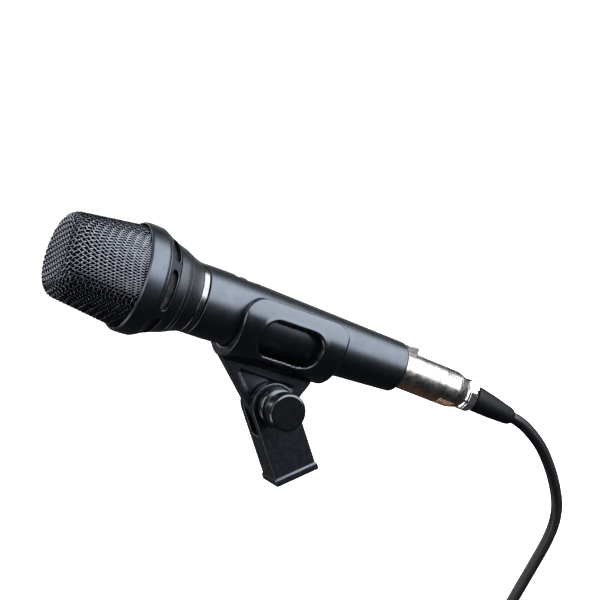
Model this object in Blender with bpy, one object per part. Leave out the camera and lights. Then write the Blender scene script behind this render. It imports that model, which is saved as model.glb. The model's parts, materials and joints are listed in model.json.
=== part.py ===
"""Handheld dynamic microphone in its stand clip, with its connector, lead and far connector.

Metres, +Z up. The origin is the centre of the stand thread's mouth, under the clip's base.
The microphone's axis lies in the XZ plane, its head towards -X, and the thumb knob is at -Y.
"""
from math import acos, atan2, cos, pi, radians, sin

import bmesh
import bpy
from mathutils import Matrix, Vector

# ---- driving dimensions, in metres ----
GAP = 0.0003                # clearance between pieces that touch
WELD = 0.000001             # points closer than this are one point
TILT = radians(39.5)        # microphone axis above the horizontal
AXIS_OFFSET = 0.0355        # clip pivot to microphone axis

# microphone: stations run back from the front of the grille
PIVOT_STATION = 0.1223      # station straight above the clip's pivot
BASKET_FACE_R = 0.0140
BASKET_CROWN = 0.0008
BASKET_CORNER_R = 0.0066
BASKET_END = 0.0375
BASKET_END_R = 0.0245
BASKET_WALL = 0.0009
FOAM_WALL = 0.0022
COLLAR_FRONT = 0.0355
COLLAR_CREST = 0.0398
COLLAR_REAR = 0.0450
COLLAR_R = 0.0260
VENT_FRONT = 0.0453
VENT_REAR = 0.0522
VENT_FRONT_R = 0.0251
VENT_REAR_R = 0.0219
VENT_WALL = 0.0021
VENT_COUNT = 6
VENT_ARC = radians(48)
NECK_FRONT = 0.0525
NECK_REAR = 0.0660
NECK_FRONT_R = 0.0217
NECK_REAR_R = 0.0170
RING_FRONT = 0.0663
RING_REAR = 0.0692
RING_R = 0.0168
SPIGOT_R = 0.0157
HANDLE_FRONT = 0.0695
HANDLE_TAPER = 0.0800
HANDLE_TAIL = 0.1805
HANDLE_R = 0.0168
TAIL_R = 0.01245
SOCKET_R = 0.0088
SOCKET_DEPTH = 0.0140
BAY_R = 0.0110
SWITCH_AT = 0.0910

# capsule: stations on the same axis
CAPSULE_FRONT = 0.0195
CAPSULE_REAR = 0.0440
CAPSULE_R = 0.0165
POT_R = 0.0134
MAGNET_R = 0.0080
COIL_R = 0.0098
DIAPHRAGM_R = 0.0132

# connectors: pins are the same at both ends of the lead
PIN_R = 0.0012
PIN_CIRCLE_R = 0.0040
PIN_ANGLES = (radians(135), radians(225), radians(0))
PLUG_DROOP = radians(2.5)
PLUG_R = 0.0094
PLUG_NOSE_R = 0.0079
PLUG_NOSE = 0.0128
PLUG_SHOULDER = 0.0008
PLUG_LENGTH = 0.0386
PLUG_RING_FRONT = 0.0389
PLUG_RING_REAR = 0.0456
PLUG_RING_R = 0.0083
BOOT_DROOP = radians(5.0)
BOOT_LENGTH = 0.0250
BOOT_FRONT_R = 0.0063
BOOT_REAR_R = 0.0044
LATCH_HALF_WIDTH = 0.0022

# clip
PIVOT_HEIGHT = 0.0377
CRADLE_FRONT = 0.0878
CRADLE_REAR = 0.1436
CRADLE_FRONT_R = 0.0217
CRADLE_REAR_R = 0.0198
ARM_HEIGHT = 0.0109
WINDOW_FRONT = 0.1000
WINDOW_REAR = 0.1312
WINDOW_TOP = 0.0028
WINDOW_BOTTOM = 0.0152
WEB_HALF = 0.0035
WEB_RECESS = 0.0010
WEB_FRONT = 0.0908
WEB_REAR = 0.1385
BOSS_R = 0.0098
BASE_X = 0.0215
BASE_Y = 0.0170
LIP = 0.0006
LIP_HEIGHT = 0.0028
SLOT_FLOOR = 0.0250
BOLT_R = 0.0025
NUT_R = 0.0046
NUT_FRONT = 0.0050
KNOB_R = 0.0090
KNOB_FLANGE_R = 0.0094
KNOB_FACE = 0.0260
THREAD_MINOR_R = 0.0040
INSERT_R = 0.0063
INSERT_DEPTH = 0.0140

# lead
CORD_R = 0.0030
COIL_MEAN_R = 0.0360
COIL_LAYERS = 3
COIL_ROWS = 4
LEAD_X = 0.0641              # where the lead hangs straight down to the coil
COIL_CENTRE = Vector((LEAD_X + (COIL_ROWS - 1) * CORD_R, 0.0, -0.2153))
JOIN_BEND_R = 0.0300        # bend by which the lead joins the coil's outer layer

HEAD = Vector((-cos(TILT), 0.0, sin(TILT)))
UP = Vector((sin(TILT), 0.0, cos(TILT)))
PIVOT = Vector((0.0, 0.0, PIVOT_HEIGHT))
FRONT = PIVOT + AXIS_OFFSET * UP + PIVOT_STATION * HEAD
MIC_TURN = -(pi / 2 - TILT)


# ---- helpers ----
def clear_scene():
    for thing in list(bpy.data.objects):
        bpy.data.objects.remove(thing)


def material(name, colour, roughness, metallic=0.0):
    look = bpy.data.materials.new(name)
    look.use_nodes = True
    shader = look.node_tree.nodes["Principled BSDF"]
    shader.inputs["Base Color"].default_value = (*colour, 1.0)
    shader.inputs["Roughness"].default_value = roughness
    shader.inputs["Metallic"].default_value = metallic
    look.diffuse_color = (*colour, 1.0)
    return look


def guide(name, location, turn_y):
    """An empty whose local Z runs along a turned piece's axis."""
    empty = bpy.data.objects.new(name, None)
    bpy.context.collection.objects.link(empty)
    empty.location = location
    empty.rotation_euler = (0.0, turn_y, 0.0)
    return empty


def place(name, bm, parent, colour, roughness, metallic=0.0):
    bmesh.ops.recalc_face_normals(bm, faces=bm.faces)
    mesh = bpy.data.meshes.new(name)
    bm.to_mesh(mesh)
    bm.free()
    mesh.shade_smooth()
    mesh.set_sharp_from_angle(angle=radians(32))
    mesh.materials.append(material(name, colour, roughness, metallic))
    piece = bpy.data.objects.new(name, mesh)
    bpy.context.collection.objects.link(piece)
    piece.parent = parent
    return piece


def cutter(name, bm, parent):
    piece = place(name, bm, parent, (1.0, 0.0, 0.0), 0.5)
    piece.hide_render = True
    piece.display_type = "WIRE"
    return piece


def combine(piece, tool, operation="DIFFERENCE"):
    step = piece.modifiers.new(tool.name, "BOOLEAN")
    step.operation = operation
    step.solver = "EXACT"
    step.object = tool


def turned(outline, sides, about="Z", centre=(0.0, 0.0)):
    """Spin a closed outline of (distance along the axis, radius) points into a solid.

    About Z the distance is a station, measured towards -Z. About Y it is y itself.
    """
    bm = bmesh.new()
    points = []
    for along, radius in outline:
        if about == "Z":
            points.append(bm.verts.new((radius, 0.0, -along)))
        else:
            points.append(bm.verts.new((radius, along, 0.0)))
    edges = []
    for index, point in enumerate(points):
        after = points[(index + 1) % len(points)]
        if abs(point.co.x) > WELD or abs(after.co.x) > WELD:
            edges.append(bm.edges.new((point, after)))
    axis = (0, 0, 1) if about == "Z" else (0, 1, 0)
    bmesh.ops.spin(bm, geom=points + edges, cent=(0, 0, 0), axis=axis, angle=2 * pi,
                   steps=sides, use_merge=True)
    bmesh.ops.remove_doubles(bm, verts=bm.verts, dist=WELD)
    bmesh.ops.translate(bm, verts=bm.verts, vec=(centre[0], centre[1], 0.0))
    return bm


def block(low, high):
    bm = bmesh.new()
    size = Vector(high) - Vector(low)
    middle = (Vector(high) + Vector(low)) / 2
    matrix = Matrix.Translation(middle) @ Matrix.Diagonal((*size, 1.0))
    bmesh.ops.create_cube(bm, size=1.0, matrix=matrix)
    return bm


def slab(outline, low_y, high_y):
    """Extrude an (x, z) outline along Y."""
    bm = bmesh.new()
    face = bm.faces.new([bm.verts.new((x, low_y, z)) for x, z in outline])
    grown = bmesh.ops.extrude_face_region(bm, geom=[face])
    corners = [item for item in grown["geom"] if isinstance(item, bmesh.types.BMVert)]
    bmesh.ops.translate(bm, verts=corners, vec=(0.0, high_y - low_y, 0.0))
    return bm


def rounded(corners, steps=5):
    """Outline through (x, z, radius) corners, each rounded by an arc."""
    outline = []
    count = len(corners)
    for index, (x, z, radius) in enumerate(corners):
        here = Vector((x, z))
        if radius == 0.0:
            outline.append(tuple(here))
            continue
        back = (Vector(corners[index - 1][:2]) - here).normalized()
        ahead = (Vector(corners[(index + 1) % count][:2]) - here).normalized()
        half = back.angle(ahead) / 2
        reach = radius / sin(half) * cos(half)
        centre = here + (back + ahead).normalized() * (radius / sin(half))
        start = here + back * reach - centre
        sweep = start.angle_signed(here + ahead * reach - centre)
        for step in range(steps + 1):
            arm = start.copy()
            arm.rotate(Matrix.Rotation(-sweep * step / steps, 2))
            outline.append(tuple(centre + arm))
    return outline


def arc(centre_s, centre_r, radius, first, last, steps):
    """Points of a turned outline along an arc; angles run from the front towards the side."""
    points = []
    for step in range(steps + 1):
        angle = radians(first + (last - first) * step / steps)
        points.append((centre_s - radius * cos(angle), centre_r + radius * sin(angle)))
    return points


def tube(name, points, radius, resolution, parent, colour, roughness):
    curve = bpy.data.curves.new(name, "CURVE")
    curve.dimensions = "3D"
    curve.bevel_depth = radius
    curve.bevel_resolution = resolution
    curve.use_fill_caps = True
    spline = curve.splines.new("POLY")
    spline.points.add(len(points) - 1)
    for target, point in zip(spline.points, points):
        target.co = (*point, 1.0)
    curve.materials.append(material(name, colour, roughness))
    piece = bpy.data.objects.new(name, curve)
    bpy.context.collection.objects.link(piece)
    piece.parent = parent
    return piece


def smooth_route(route, spacing):
    """Evenly spaced points on a Catmull-Rom curve through the route's own points."""
    ends = [2 * route[0] - route[1], *route, 2 * route[-1] - route[-2]]
    fine = [route[0]]
    for a, b, c, d in zip(ends, ends[1:], ends[2:], ends[3:]):
        for step in range(1, 21):
            t = step / 20
            fine.append(0.5 * (2 * b + (c - a) * t + (2 * a - 5 * b + 4 * c - d) * t ** 2
                               + (3 * b - a - 3 * c + d) * t ** 3))
    lengths = [0.0]
    for a, b in zip(fine, fine[1:]):
        lengths.append(lengths[-1] + (b - a).length)
    count = round(lengths[-1] / spacing)
    points = []
    at = 0
    for index in range(count + 1):
        goal = lengths[-1] * index / count
        while at < len(fine) - 2 and lengths[at + 1] < goal:
            at += 1
        part = (goal - lengths[at]) / (lengths[at + 1] - lengths[at])
        points.append(fine[at].lerp(fine[at + 1], part))
    return points


def handle_radius(station):
    part = max(0.0, (station - HANDLE_TAPER) / (HANDLE_TAIL - HANDLE_TAPER))
    return HANDLE_R + (TAIL_R - HANDLE_R) * part


# ---- microphone head ----
def basket_outline(inset):
    """Grille outline from the middle of its face to its open rear, moved inwards by inset."""
    corner_s = BASKET_CROWN + BASKET_CORNER_R - 0.0008
    corner = arc(corner_s, BASKET_FACE_R, BASKET_CORNER_R - inset, 0, 82, 4)
    return [(inset, 0.0), *corner, (BASKET_END, BASKET_END_R - inset)]


def make_head(axis):
    black = (0.03, 0.032, 0.036)
    shell = basket_outline(0.0) + basket_outline(BASKET_WALL)[::-1]
    place("grille_basket", turned(shell, 32), axis, (0.07, 0.072, 0.078), 0.35, 0.9)
    liner_out = basket_outline(BASKET_WALL + GAP)
    liner_in = basket_outline(BASKET_WALL + GAP + FOAM_WALL)
    liner_out[-1] = (BASKET_END - 0.0020, liner_out[-1][1] - 0.0003)
    liner_in[-1] = (BASKET_END - 0.0020, liner_in[-1][1] - 0.0003)
    place("grille_foam", turned(liner_out + liner_in[::-1], 24), axis, (0.01, 0.01, 0.01), 0.95)

    seat_r = BASKET_END_R + GAP
    bore_r = 0.0232
    collar = [(COLLAR_FRONT, seat_r), (COLLAR_FRONT, 0.0251), (COLLAR_FRONT + 0.0006, 0.0256),
              (COLLAR_CREST - 0.0020, COLLAR_R), (COLLAR_CREST + 0.0010, COLLAR_R),
              (COLLAR_REAR - 0.0003, 0.0256), (COLLAR_REAR, 0.0253),
              (COLLAR_REAR, bore_r), (BASKET_END + GAP, bore_r), (BASKET_END + GAP, seat_r)]
    place("head_collar", turned(collar, 36), axis, black, 0.38, 0.3)

    cone = [(VENT_FRONT, VENT_FRONT_R), (VENT_REAR, VENT_REAR_R),
            (VENT_REAR, VENT_REAR_R - VENT_WALL), (VENT_FRONT, VENT_FRONT_R - VENT_WALL)]
    ring = place("vent_ring", turned(cone, 36), axis, black, 0.4, 0.3)
    for index in range(VENT_COUNT):
        middle = -pi / 2 + index * 2 * pi / VENT_COUNT
        combine(ring, vent_cutter(f"vent_cut_{index + 1}", middle, axis))
    inner = VENT_WALL + GAP
    sieve = [(VENT_FRONT + 0.0004, VENT_FRONT_R - inner - 0.0002),
             (VENT_REAR - 0.0002, VENT_REAR_R - inner),
             (VENT_REAR - 0.0002, VENT_REAR_R - inner - 0.0006),
             (VENT_FRONT + 0.0004, VENT_FRONT_R - inner - 0.0008)]
    place("vent_mesh", turned(sieve, 24), axis, (0.02, 0.02, 0.02), 0.5, 0.8)


def vent_cutter(name, middle, axis):
    """A wedge that cuts one vent slot through the cone."""
    bm = bmesh.new()
    steps = 5
    low = VENT_FRONT + 0.0019
    high = VENT_REAR - 0.0008
    rings = []
    for step in range(steps + 1):
        angle = middle + VENT_ARC * (step / steps - 0.5)
        corners = []
        for radius, station in ((0.017, low), (0.030, low), (0.030, high), (0.017, high)):
            corners.append(bm.verts.new((radius * cos(angle), radius * sin(angle), -station)))
        rings.append(corners)
    for first, second in zip(rings, rings[1:]):
        for index in range(4):
            after = (index + 1) % 4
            bm.faces.new((first[index], first[after], second[after], second[index]))
    bm.faces.new(rings[0])
    bm.faces.new(rings[-1])
    return cutter(name, bm, axis)


def make_neck_and_handle(axis):
    black = (0.03, 0.032, 0.036)
    groove = 0.0003
    neck = [(NECK_FRONT, NECK_FRONT_R), (0.0566, 0.0205), (0.0568, 0.0205 - groove),
            (0.0572, 0.0204 - groove), (0.0574, 0.0203), (0.0588, 0.0197),
            (0.0590, 0.0197 - groove), (0.0594, 0.0195 - groove), (0.0596, 0.0194),
            (NECK_REAR - 0.0010, NECK_REAR_R + 0.0002), (NECK_REAR, NECK_REAR_R),
            (NECK_REAR, SPIGOT_R), (HANDLE_FRONT, SPIGOT_R - GAP), (HANDLE_FRONT, 0.0141),
            (0.0760, 0.0141), (0.0760, 0.0124), (NECK_REAR, 0.0124), (NECK_FRONT, 0.0194)]
    place("neck_cone", turned(neck, 36), axis, black, 0.42, 0.3)

    band = [(RING_FRONT, SPIGOT_R + GAP), (RING_FRONT, RING_R - 0.0002), (RING_FRONT + 0.0002, RING_R),
            (RING_REAR - 0.0002, RING_R), (RING_REAR, RING_R - 0.0002), (RING_REAR, SPIGOT_R + GAP)]
    place("id_ring", turned(band, 36), axis, (0.72, 0.73, 0.74), 0.25, 1.0)

    bay_end = HANDLE_TAIL - SOCKET_DEPTH
    body = [(HANDLE_FRONT + GAP, 0.0166), (HANDLE_FRONT + 0.0006, HANDLE_R), (HANDLE_TAPER, HANDLE_R),
            (HANDLE_TAIL - 0.0007, handle_radius(HANDLE_TAIL - 0.0007)),
            (HANDLE_TAIL, TAIL_R - 0.0005), (HANDLE_TAIL, SOCKET_R + 0.0005),
            (HANDLE_TAIL - 0.0005, SOCKET_R), (bay_end, SOCKET_R), (bay_end, BAY_R),
            (0.1500, BAY_R), (0.1120, 0.0132), (HANDLE_FRONT + GAP, 0.0144)]
    handle = place("handle_body", turned(body, 36), axis, (0.035, 0.038, 0.044), 0.36, 0.3)
    front_z = -(SWITCH_AT - 0.0065)
    rear_z = -(SWITCH_AT + 0.0065)
    pocket = block((0.0152, -0.0040, rear_z), (0.0200, 0.0040, front_z))
    combine(handle, cutter("switch_pocket", pocket, axis))
    window = block((0.0100, -0.0022, rear_z + 0.0020), (0.0160, 0.0022, front_z - 0.0020))
    combine(handle, cutter("switch_window", window, axis))
    hole = turned([(-0.0145, 0.0), (-0.0145, 0.0014), (-0.0080, 0.0014), (-0.0080, 0.0)], 12)
    bmesh.ops.rotate(hole, verts=hole.verts, cent=(0, 0, 0), matrix=Matrix.Rotation(-pi / 2, 3, "Y"))
    bmesh.ops.translate(hole, verts=hole.verts, vec=(0.0, 0.0, -0.1630))
    combine(handle, cutter("insert_screw_hole", hole, axis))
    make_switch(axis, front_z, rear_z)


def make_switch(axis, front_z, rear_z):
    plate = place("switch_plate", block((0.0155, -0.0037, rear_z + GAP), (0.0159, 0.0037, front_z - GAP)),
                  axis, (0.02, 0.02, 0.022), 0.5)
    slot = block((0.0150, -0.0016, -SWITCH_AT - 0.0036), (0.0170, 0.0016, -SWITCH_AT + 0.0036))
    combine(plate, cutter("switch_slot", slot, axis))
    nub_front = -SWITCH_AT + 0.0033
    nub_rear = nub_front - 0.0036
    outline = [(0.0125, nub_rear), (0.0125, nub_front), (0.0166, nub_front),
               (0.0166, nub_front - 0.0008), (0.0161, nub_front - 0.0013), (0.0161, nub_rear + 0.0013),
               (0.0166, nub_rear + 0.0008), (0.0166, nub_rear)]
    place("switch_slider", slab(outline, -0.0012, 0.0012), axis, (0.05, 0.05, 0.055), 0.45)
    body = block((0.0080, -0.0034, -SWITCH_AT - 0.0060), (0.0122, 0.0034, -SWITCH_AT + 0.0060))
    place("switch_body", body, axis, (0.30, 0.30, 0.30), 0.45)


# ---- inside the microphone ----
def make_capsule(axis):
    cover = [(CAPSULE_FRONT, 0.0030), (CAPSULE_FRONT, CAPSULE_R - 0.0008),
             (CAPSULE_FRONT + 0.0008, CAPSULE_R), (CAPSULE_FRONT + 0.0030, CAPSULE_R),
             (CAPSULE_FRONT + 0.0030, 0.0145), (CAPSULE_FRONT + 0.0012, 0.0145),
             (CAPSULE_FRONT + 0.0012, 0.0030)]
    place("capsule_cover", turned(cover, 24), axis, (0.05, 0.05, 0.05), 0.5)
    rim = CAPSULE_FRONT + 0.0033
    cup = [(rim, CAPSULE_R), (CAPSULE_REAR, CAPSULE_R), (CAPSULE_REAR, 0.0040),
           (CAPSULE_REAR - 0.0020, 0.0040), (CAPSULE_REAR - 0.0020, POT_R + GAP), (rim, POT_R + 0.0005)]
    place("capsule_housing", turned(cup, 24), axis, (0.04, 0.04, 0.045), 0.5)
    pot_front = 0.0268
    pot = [(pot_front, 0.0112), (pot_front, POT_R), (0.0405, POT_R), (0.0405, 0.0), (0.0385, 0.0),
           (0.0385, 0.0112)]
    place("magnet_pot", turned(pot, 24), axis, (0.45, 0.45, 0.47), 0.35, 1.0)
    magnet = [(0.0292, 0.0), (0.0292, MAGNET_R), (0.0382, MAGNET_R), (0.0382, 0.0)]
    place("magnet", turned(magnet, 24), axis, (0.20, 0.20, 0.21), 0.4, 0.8)
    plate = [(0.0270, 0.0), (0.0270, 0.0088), (0.0289, 0.0088), (0.0289, 0.0)]
    place("top_plate", turned(plate, 24), axis, (0.50, 0.50, 0.52), 0.35, 1.0)
    coil = [(0.0254, COIL_R - 0.0004), (0.0254, COIL_R + 0.0004), (0.0305, COIL_R + 0.0004),
            (0.0305, COIL_R - 0.0004)]
    place("voice_coil", turned(coil, 24), axis, (0.60, 0.28, 0.12), 0.35, 0.9)
    dome = [(0.0238, 0.0), (0.0244, 0.0055), (0.0249, COIL_R), (0.0243, 0.0115), (0.0247, DIAPHRAGM_R),
            (0.0250, DIAPHRAGM_R), (0.0246, 0.0115), (0.0252, COIL_R), (0.0247, 0.0055), (0.0241, 0.0)]
    place("diaphragm", turned(dome, 24), axis, (0.75, 0.74, 0.70), 0.3)
    mount = [(0.0402, CAPSULE_R + GAP), (0.0402, 0.0200), (0.0412, 0.0229), (0.0446, 0.0229),
             (0.0446, 0.0205), (0.0432, CAPSULE_R + GAP)]
    place("shock_mount", turned(mount, 24), axis, (0.02, 0.02, 0.02), 0.85)


def make_leads(axis):
    """Two insulated wires from the capsule's rear, past the switch, to the connector insert."""
    for name, side, colour in (("lead_hot", 1.0, (0.5, 0.05, 0.04)), ("lead_cold", -1.0, (0.04, 0.08, 0.4))):
        route = [Vector((0.0060, 0.0030 * side, -CAPSULE_REAR - GAP)),
                 Vector((0.0050, 0.0034 * side, -0.0520)), Vector((0.0010, 0.0040 * side, -0.0700)),
                 Vector((-0.0020, 0.0042 * side, -0.0910)), Vector((-0.0010, 0.0040 * side, -0.1200)),
                 Vector((0.0006, 0.0038 * side, -0.1450)), Vector((0.0012, 0.0048 * side, -0.1562))]
        tube(name, smooth_route(route, 0.009), 0.0006, 1, axis, colour, 0.5)


def pin_hole(name, radius, angle, first, last, parent):
    centre = (PIN_CIRCLE_R * cos(angle), PIN_CIRCLE_R * sin(angle))
    outline = [(first, 0.0), (first, radius), (last, radius), (last, 0.0)]
    return cutter(name, turned(outline, 12, centre=centre), parent)


def make_pins(prefix, parent, first, tip, colour):
    for number, angle in enumerate(PIN_ANGLES, 1):
        centre = (PIN_CIRCLE_R * cos(angle), PIN_CIRCLE_R * sin(angle))
        nose = 0.0006 if tip > first else -0.0006
        outline = [(first, 0.0), (first, PIN_R), (tip - nose, PIN_R), (tip, PIN_R - 0.0006), (tip, 0.0)]
        place(f"{prefix}_{number}", turned(outline, 12, centre=centre), parent, colour, 0.3, 1.0)


def make_socket(axis):
    face = HANDLE_TAIL - SOCKET_DEPTH - GAP
    rear = 0.1600
    disc = [(rear, 0.0), (rear, BAY_R - GAP), (face, BAY_R - GAP), (face, 0.0)]
    insert = place("xlr_insert", turned(disc, 24), axis, (0.03, 0.03, 0.03), 0.5)
    for number, angle in enumerate(PIN_ANGLES, 1):
        combine(insert, pin_hole(f"insert_hole_{number}", PIN_R + GAP, angle, rear - 0.001, face + 0.001, axis))
    make_pins("xlr_pin", axis, 0.1572, HANDLE_TAIL - 0.0020, (0.75, 0.72, 0.60))
    seat = turned([(-0.01285, 0.0), (-0.01285, 0.0011), (-0.0110, 0.0011), (-0.0110, 0.0)], 12)
    bmesh.ops.rotate(seat, verts=seat.verts, cent=(0, 0, 0), matrix=Matrix.Rotation(-pi / 2, 3, "Y"))
    bmesh.ops.translate(seat, verts=seat.verts, vec=(0.0, 0.0, -0.1630))
    place("insert_screw", seat, axis, (0.5, 0.5, 0.5), 0.35, 1.0)


# ---- connector on the microphone's tail ----
def make_plug(axis, boot_axis):
    nickel = (0.55, 0.53, 0.50)
    bore = 0.0070
    taper = PLUG_LENGTH - 0.0055
    shell = [(-PLUG_NOSE, bore), (-PLUG_NOSE, PLUG_NOSE_R), (PLUG_SHOULDER, PLUG_NOSE_R),
             (PLUG_SHOULDER, PLUG_R - 0.0003), (PLUG_SHOULDER + 0.0003, PLUG_R), (taper, PLUG_R),
             (PLUG_LENGTH, 0.0077), (PLUG_LENGTH, bore)]
    outer = place("plug_shell", turned(shell, 32), axis, nickel, 0.3, 1.0)
    opening = block((0.0060, -LATCH_HALF_WIDTH - GAP, -0.0120), (0.0140, LATCH_HALF_WIDTH + GAP, -0.0012))
    combine(outer, cutter("latch_opening", opening, axis))

    face = -PLUG_NOSE + GAP
    step = -0.0009
    back = 0.0080
    core = [(face, 0.0), (face, bore - GAP), (back, bore - GAP), (back, 0.0)]
    insert = place("plug_insert", turned(core, 24), axis, (0.03, 0.03, 0.03), 0.5)
    for number, angle in enumerate(PIN_ANGLES, 1):
        combine(insert, pin_hole(f"plug_hole_{number}", 0.0021, angle, face - 0.001, step, axis))
        combine(insert, pin_hole(f"contact_hole_{number}", PIN_R + 2 * GAP, angle, step - 0.001, back + 0.001,
                                 axis))
        centre = (PIN_CIRCLE_R * cos(angle), PIN_CIRCLE_R * sin(angle))
        barrel = [(step, 0.0), (step, PIN_R + GAP), (0.0120, PIN_R + GAP), (0.0120, 0.0)]
        place(f"plug_contact_{number}", turned(barrel, 12, centre=centre), axis, (0.75, 0.60, 0.30), 0.3, 1.0)

    outline = [(0.0083, -0.0016), (0.0120, -0.0016), (0.0128, -0.0070), (0.0124, -0.0074),
               (0.0097, -0.0078), (0.0097, -0.0114), (0.0083, -0.0114)]
    latch = slab(outline, -LATCH_HALF_WIDTH, LATCH_HALF_WIDTH)
    place("plug_latch", latch, axis, (0.62, 0.62, 0.62), 0.3, 1.0)
    spring = block((0.00705, -0.0014, -0.0110), (0.00730, 0.0014, -0.0040))
    place("latch_spring", spring, axis, (0.6, 0.6, 0.6), 0.3, 1.0)

    chuck = [(0.0240, CORD_R + GAP), (0.0240, 0.0058), (0.0300, bore - GAP), (0.0382, bore - GAP),
             (0.0382, CORD_R + GAP)]
    place("plug_chuck", turned(chuck, 20), axis, (0.10, 0.10, 0.10), 0.6)
    nut = [(PLUG_RING_FRONT, 0.0052), (PLUG_RING_FRONT, PLUG_RING_R - 0.0010),
           (PLUG_RING_FRONT + 0.0012, PLUG_RING_R), (PLUG_RING_REAR - 0.0014, PLUG_RING_R),
           (PLUG_RING_REAR, PLUG_RING_R - 0.0014), (PLUG_RING_REAR, 0.0052)]
    place("plug_ring", turned(nut, 24), axis, (0.80, 0.80, 0.80), 0.08, 1.0)
    sleeve = [(0.0, CORD_R + GAP), (0.0, BOOT_FRONT_R), (BOOT_LENGTH - 0.0035, BOOT_REAR_R + 0.0002),
              (BOOT_LENGTH - 0.0010, BOOT_REAR_R - 0.0002), (BOOT_LENGTH, BOOT_REAR_R - 0.0008),
              (BOOT_LENGTH, CORD_R + GAP)]
    place("plug_boot", turned(sleeve, 24), boot_axis, (0.012, 0.013, 0.016), 0.6)


# ---- lead ----
def cord_route(start, heading):
    """The lead's own points from the boot to the coil, in the XZ plane and then aside into the turns."""
    route = [start, start + 0.0045 * heading]
    for x, z in ((0.1268, -0.0323), (0.1306, -0.0428), (0.1322, -0.0543), (0.1321, -0.0653),
                 (0.1304, -0.0758), (0.1260, -0.0845), (0.1188, -0.0921), (0.1091, -0.0998),
                 (0.0986, -0.1078), (0.0889, -0.1153), (0.0791, -0.1233), (0.0708, -0.1318),
                 (0.0659, -0.1413)):
        route.append(Vector((x, 0.0, z)))
    bend_top = COIL_CENTRE.z + 0.0655
    route.append(Vector((LEAD_X, 0.0, bend_top)))
    for degrees in (12, 24, 34):
        angle = radians(degrees)
        aside = JOIN_BEND_R * (1 - cos(angle))
        route.append(Vector((LEAD_X, aside, bend_top - JOIN_BEND_R * sin(angle))))
    return route


def make_lead(boot_end, boot_heading):
    black = (0.014, 0.015, 0.020)
    start = boot_end + 2 * GAP * boot_heading
    points = smooth_route(cord_route(start, boot_heading), 0.0125)
    tube("cord", points, CORD_R, 2, None, black, 0.55)

    half_deep = COIL_LAYERS * CORD_R
    half_wide = COIL_ROWS * CORD_R
    low = COIL_MEAN_R - half_deep
    high = COIL_MEAN_R + half_deep
    ease = 0.0022
    ring = [(-half_wide, low + ease), (-half_wide, high - ease), (-half_wide + ease, high),
            (half_wide - ease, high), (half_wide, high - ease), (half_wide, low + ease),
            (half_wide - ease, low), (-half_wide + ease, low)]
    hoop = guide("coil_axis", COIL_CENTRE, pi / 2)
    place("cord_coil", turned(ring, 32), hoop, black, 0.55)
    make_tie(half_deep, half_wide)
    make_far_end()


def make_tie(half_deep, half_wide):
    """A strap wrapped once round the bundle, a little to one side of its top."""
    thick = 0.0010
    deep = half_deep + GAP
    wide = half_wide + GAP
    centre = COIL_CENTRE + Vector((0.0, -COIL_MEAN_R * sin(radians(30)), COIL_MEAN_R * cos(radians(30))))
    outer = [(-wide - thick, -deep - thick), (wide + thick, -deep - thick),
             (wide + thick, deep + thick), (-wide - thick, deep + thick)]
    inner = [(-wide, -deep - 0.0006), (wide, -deep - 0.0006), (wide, deep + 0.0006), (-wide, deep + 0.0006)]
    strap = slab(outer, -0.0060, 0.0060)
    hollow = slab(inner, -0.0070, 0.0070)
    turn = Matrix.Translation(centre) @ Matrix.Rotation(radians(30), 4, "X")
    bmesh.ops.transform(strap, matrix=turn, verts=strap.verts)
    bmesh.ops.transform(hollow, matrix=turn, verts=hollow.verts)
    band = place("cord_tie", strap, None, (0.02, 0.02, 0.02), 0.9)
    combine(band, cutter("tie_hollow", hollow, None))


def make_far_end():
    """Male connector on the last turn, which leaves the coil's side straight down; open end down."""
    nickel = (0.55, 0.53, 0.50)
    outer_layer = COIL_MEAN_R + (COIL_LAYERS - 1) * CORD_R
    mouth = COIL_CENTRE + Vector(((COIL_ROWS - 1) * CORD_R, outer_layer + 0.0006, -0.0255))
    axis = guide("far_axis", mouth, 0.0)
    sleeve = [(0.0, 0.0), (0.0, BOOT_REAR_R), (BOOT_LENGTH, BOOT_FRONT_R), (BOOT_LENGTH, 0.0)]
    place("far_boot", turned(sleeve, 24), axis, (0.012, 0.013, 0.016), 0.6)
    top = BOOT_LENGTH + GAP
    nut = [(top, 0.0052), (top, PLUG_RING_R - 0.0014), (top + 0.0014, PLUG_RING_R),
           (top + 0.0055, PLUG_RING_R), (top + 0.0065, PLUG_RING_R - 0.0010), (top + 0.0065, 0.0052)]
    place("far_ring", turned(nut, 24), axis, (0.80, 0.80, 0.80), 0.08, 1.0)
    top += 0.0065 + GAP
    end = top + 0.0440
    bore = 0.0082
    shell = [(top, 0.0060), (top, 0.0077), (top + 0.0055, PLUG_R), (end - 0.0003, PLUG_R),
             (end, PLUG_R - 0.0003), (end, bore), (end - 0.0150, bore), (end - 0.0150, 0.0070),
             (top + 0.0020, 0.0070)]
    place("far_shell", turned(shell, 32), axis, nickel, 0.3, 1.0)
    face = end - 0.0153
    disc = [(face - 0.0080, 0.0), (face - 0.0080, 0.0070 - GAP), (face, 0.0070 - GAP), (face, 0.0)]
    insert = place("far_insert", turned(disc, 24), axis, (0.03, 0.03, 0.03), 0.5)
    for number, angle in enumerate(PIN_ANGLES, 1):
        combine(insert, pin_hole(f"far_hole_{number}", PIN_R + GAP, angle, face - 0.009, face + 0.001, axis))
    make_pins("far_pin", axis, face - 0.0100, end - 0.0020, (0.75, 0.72, 0.60))


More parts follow.
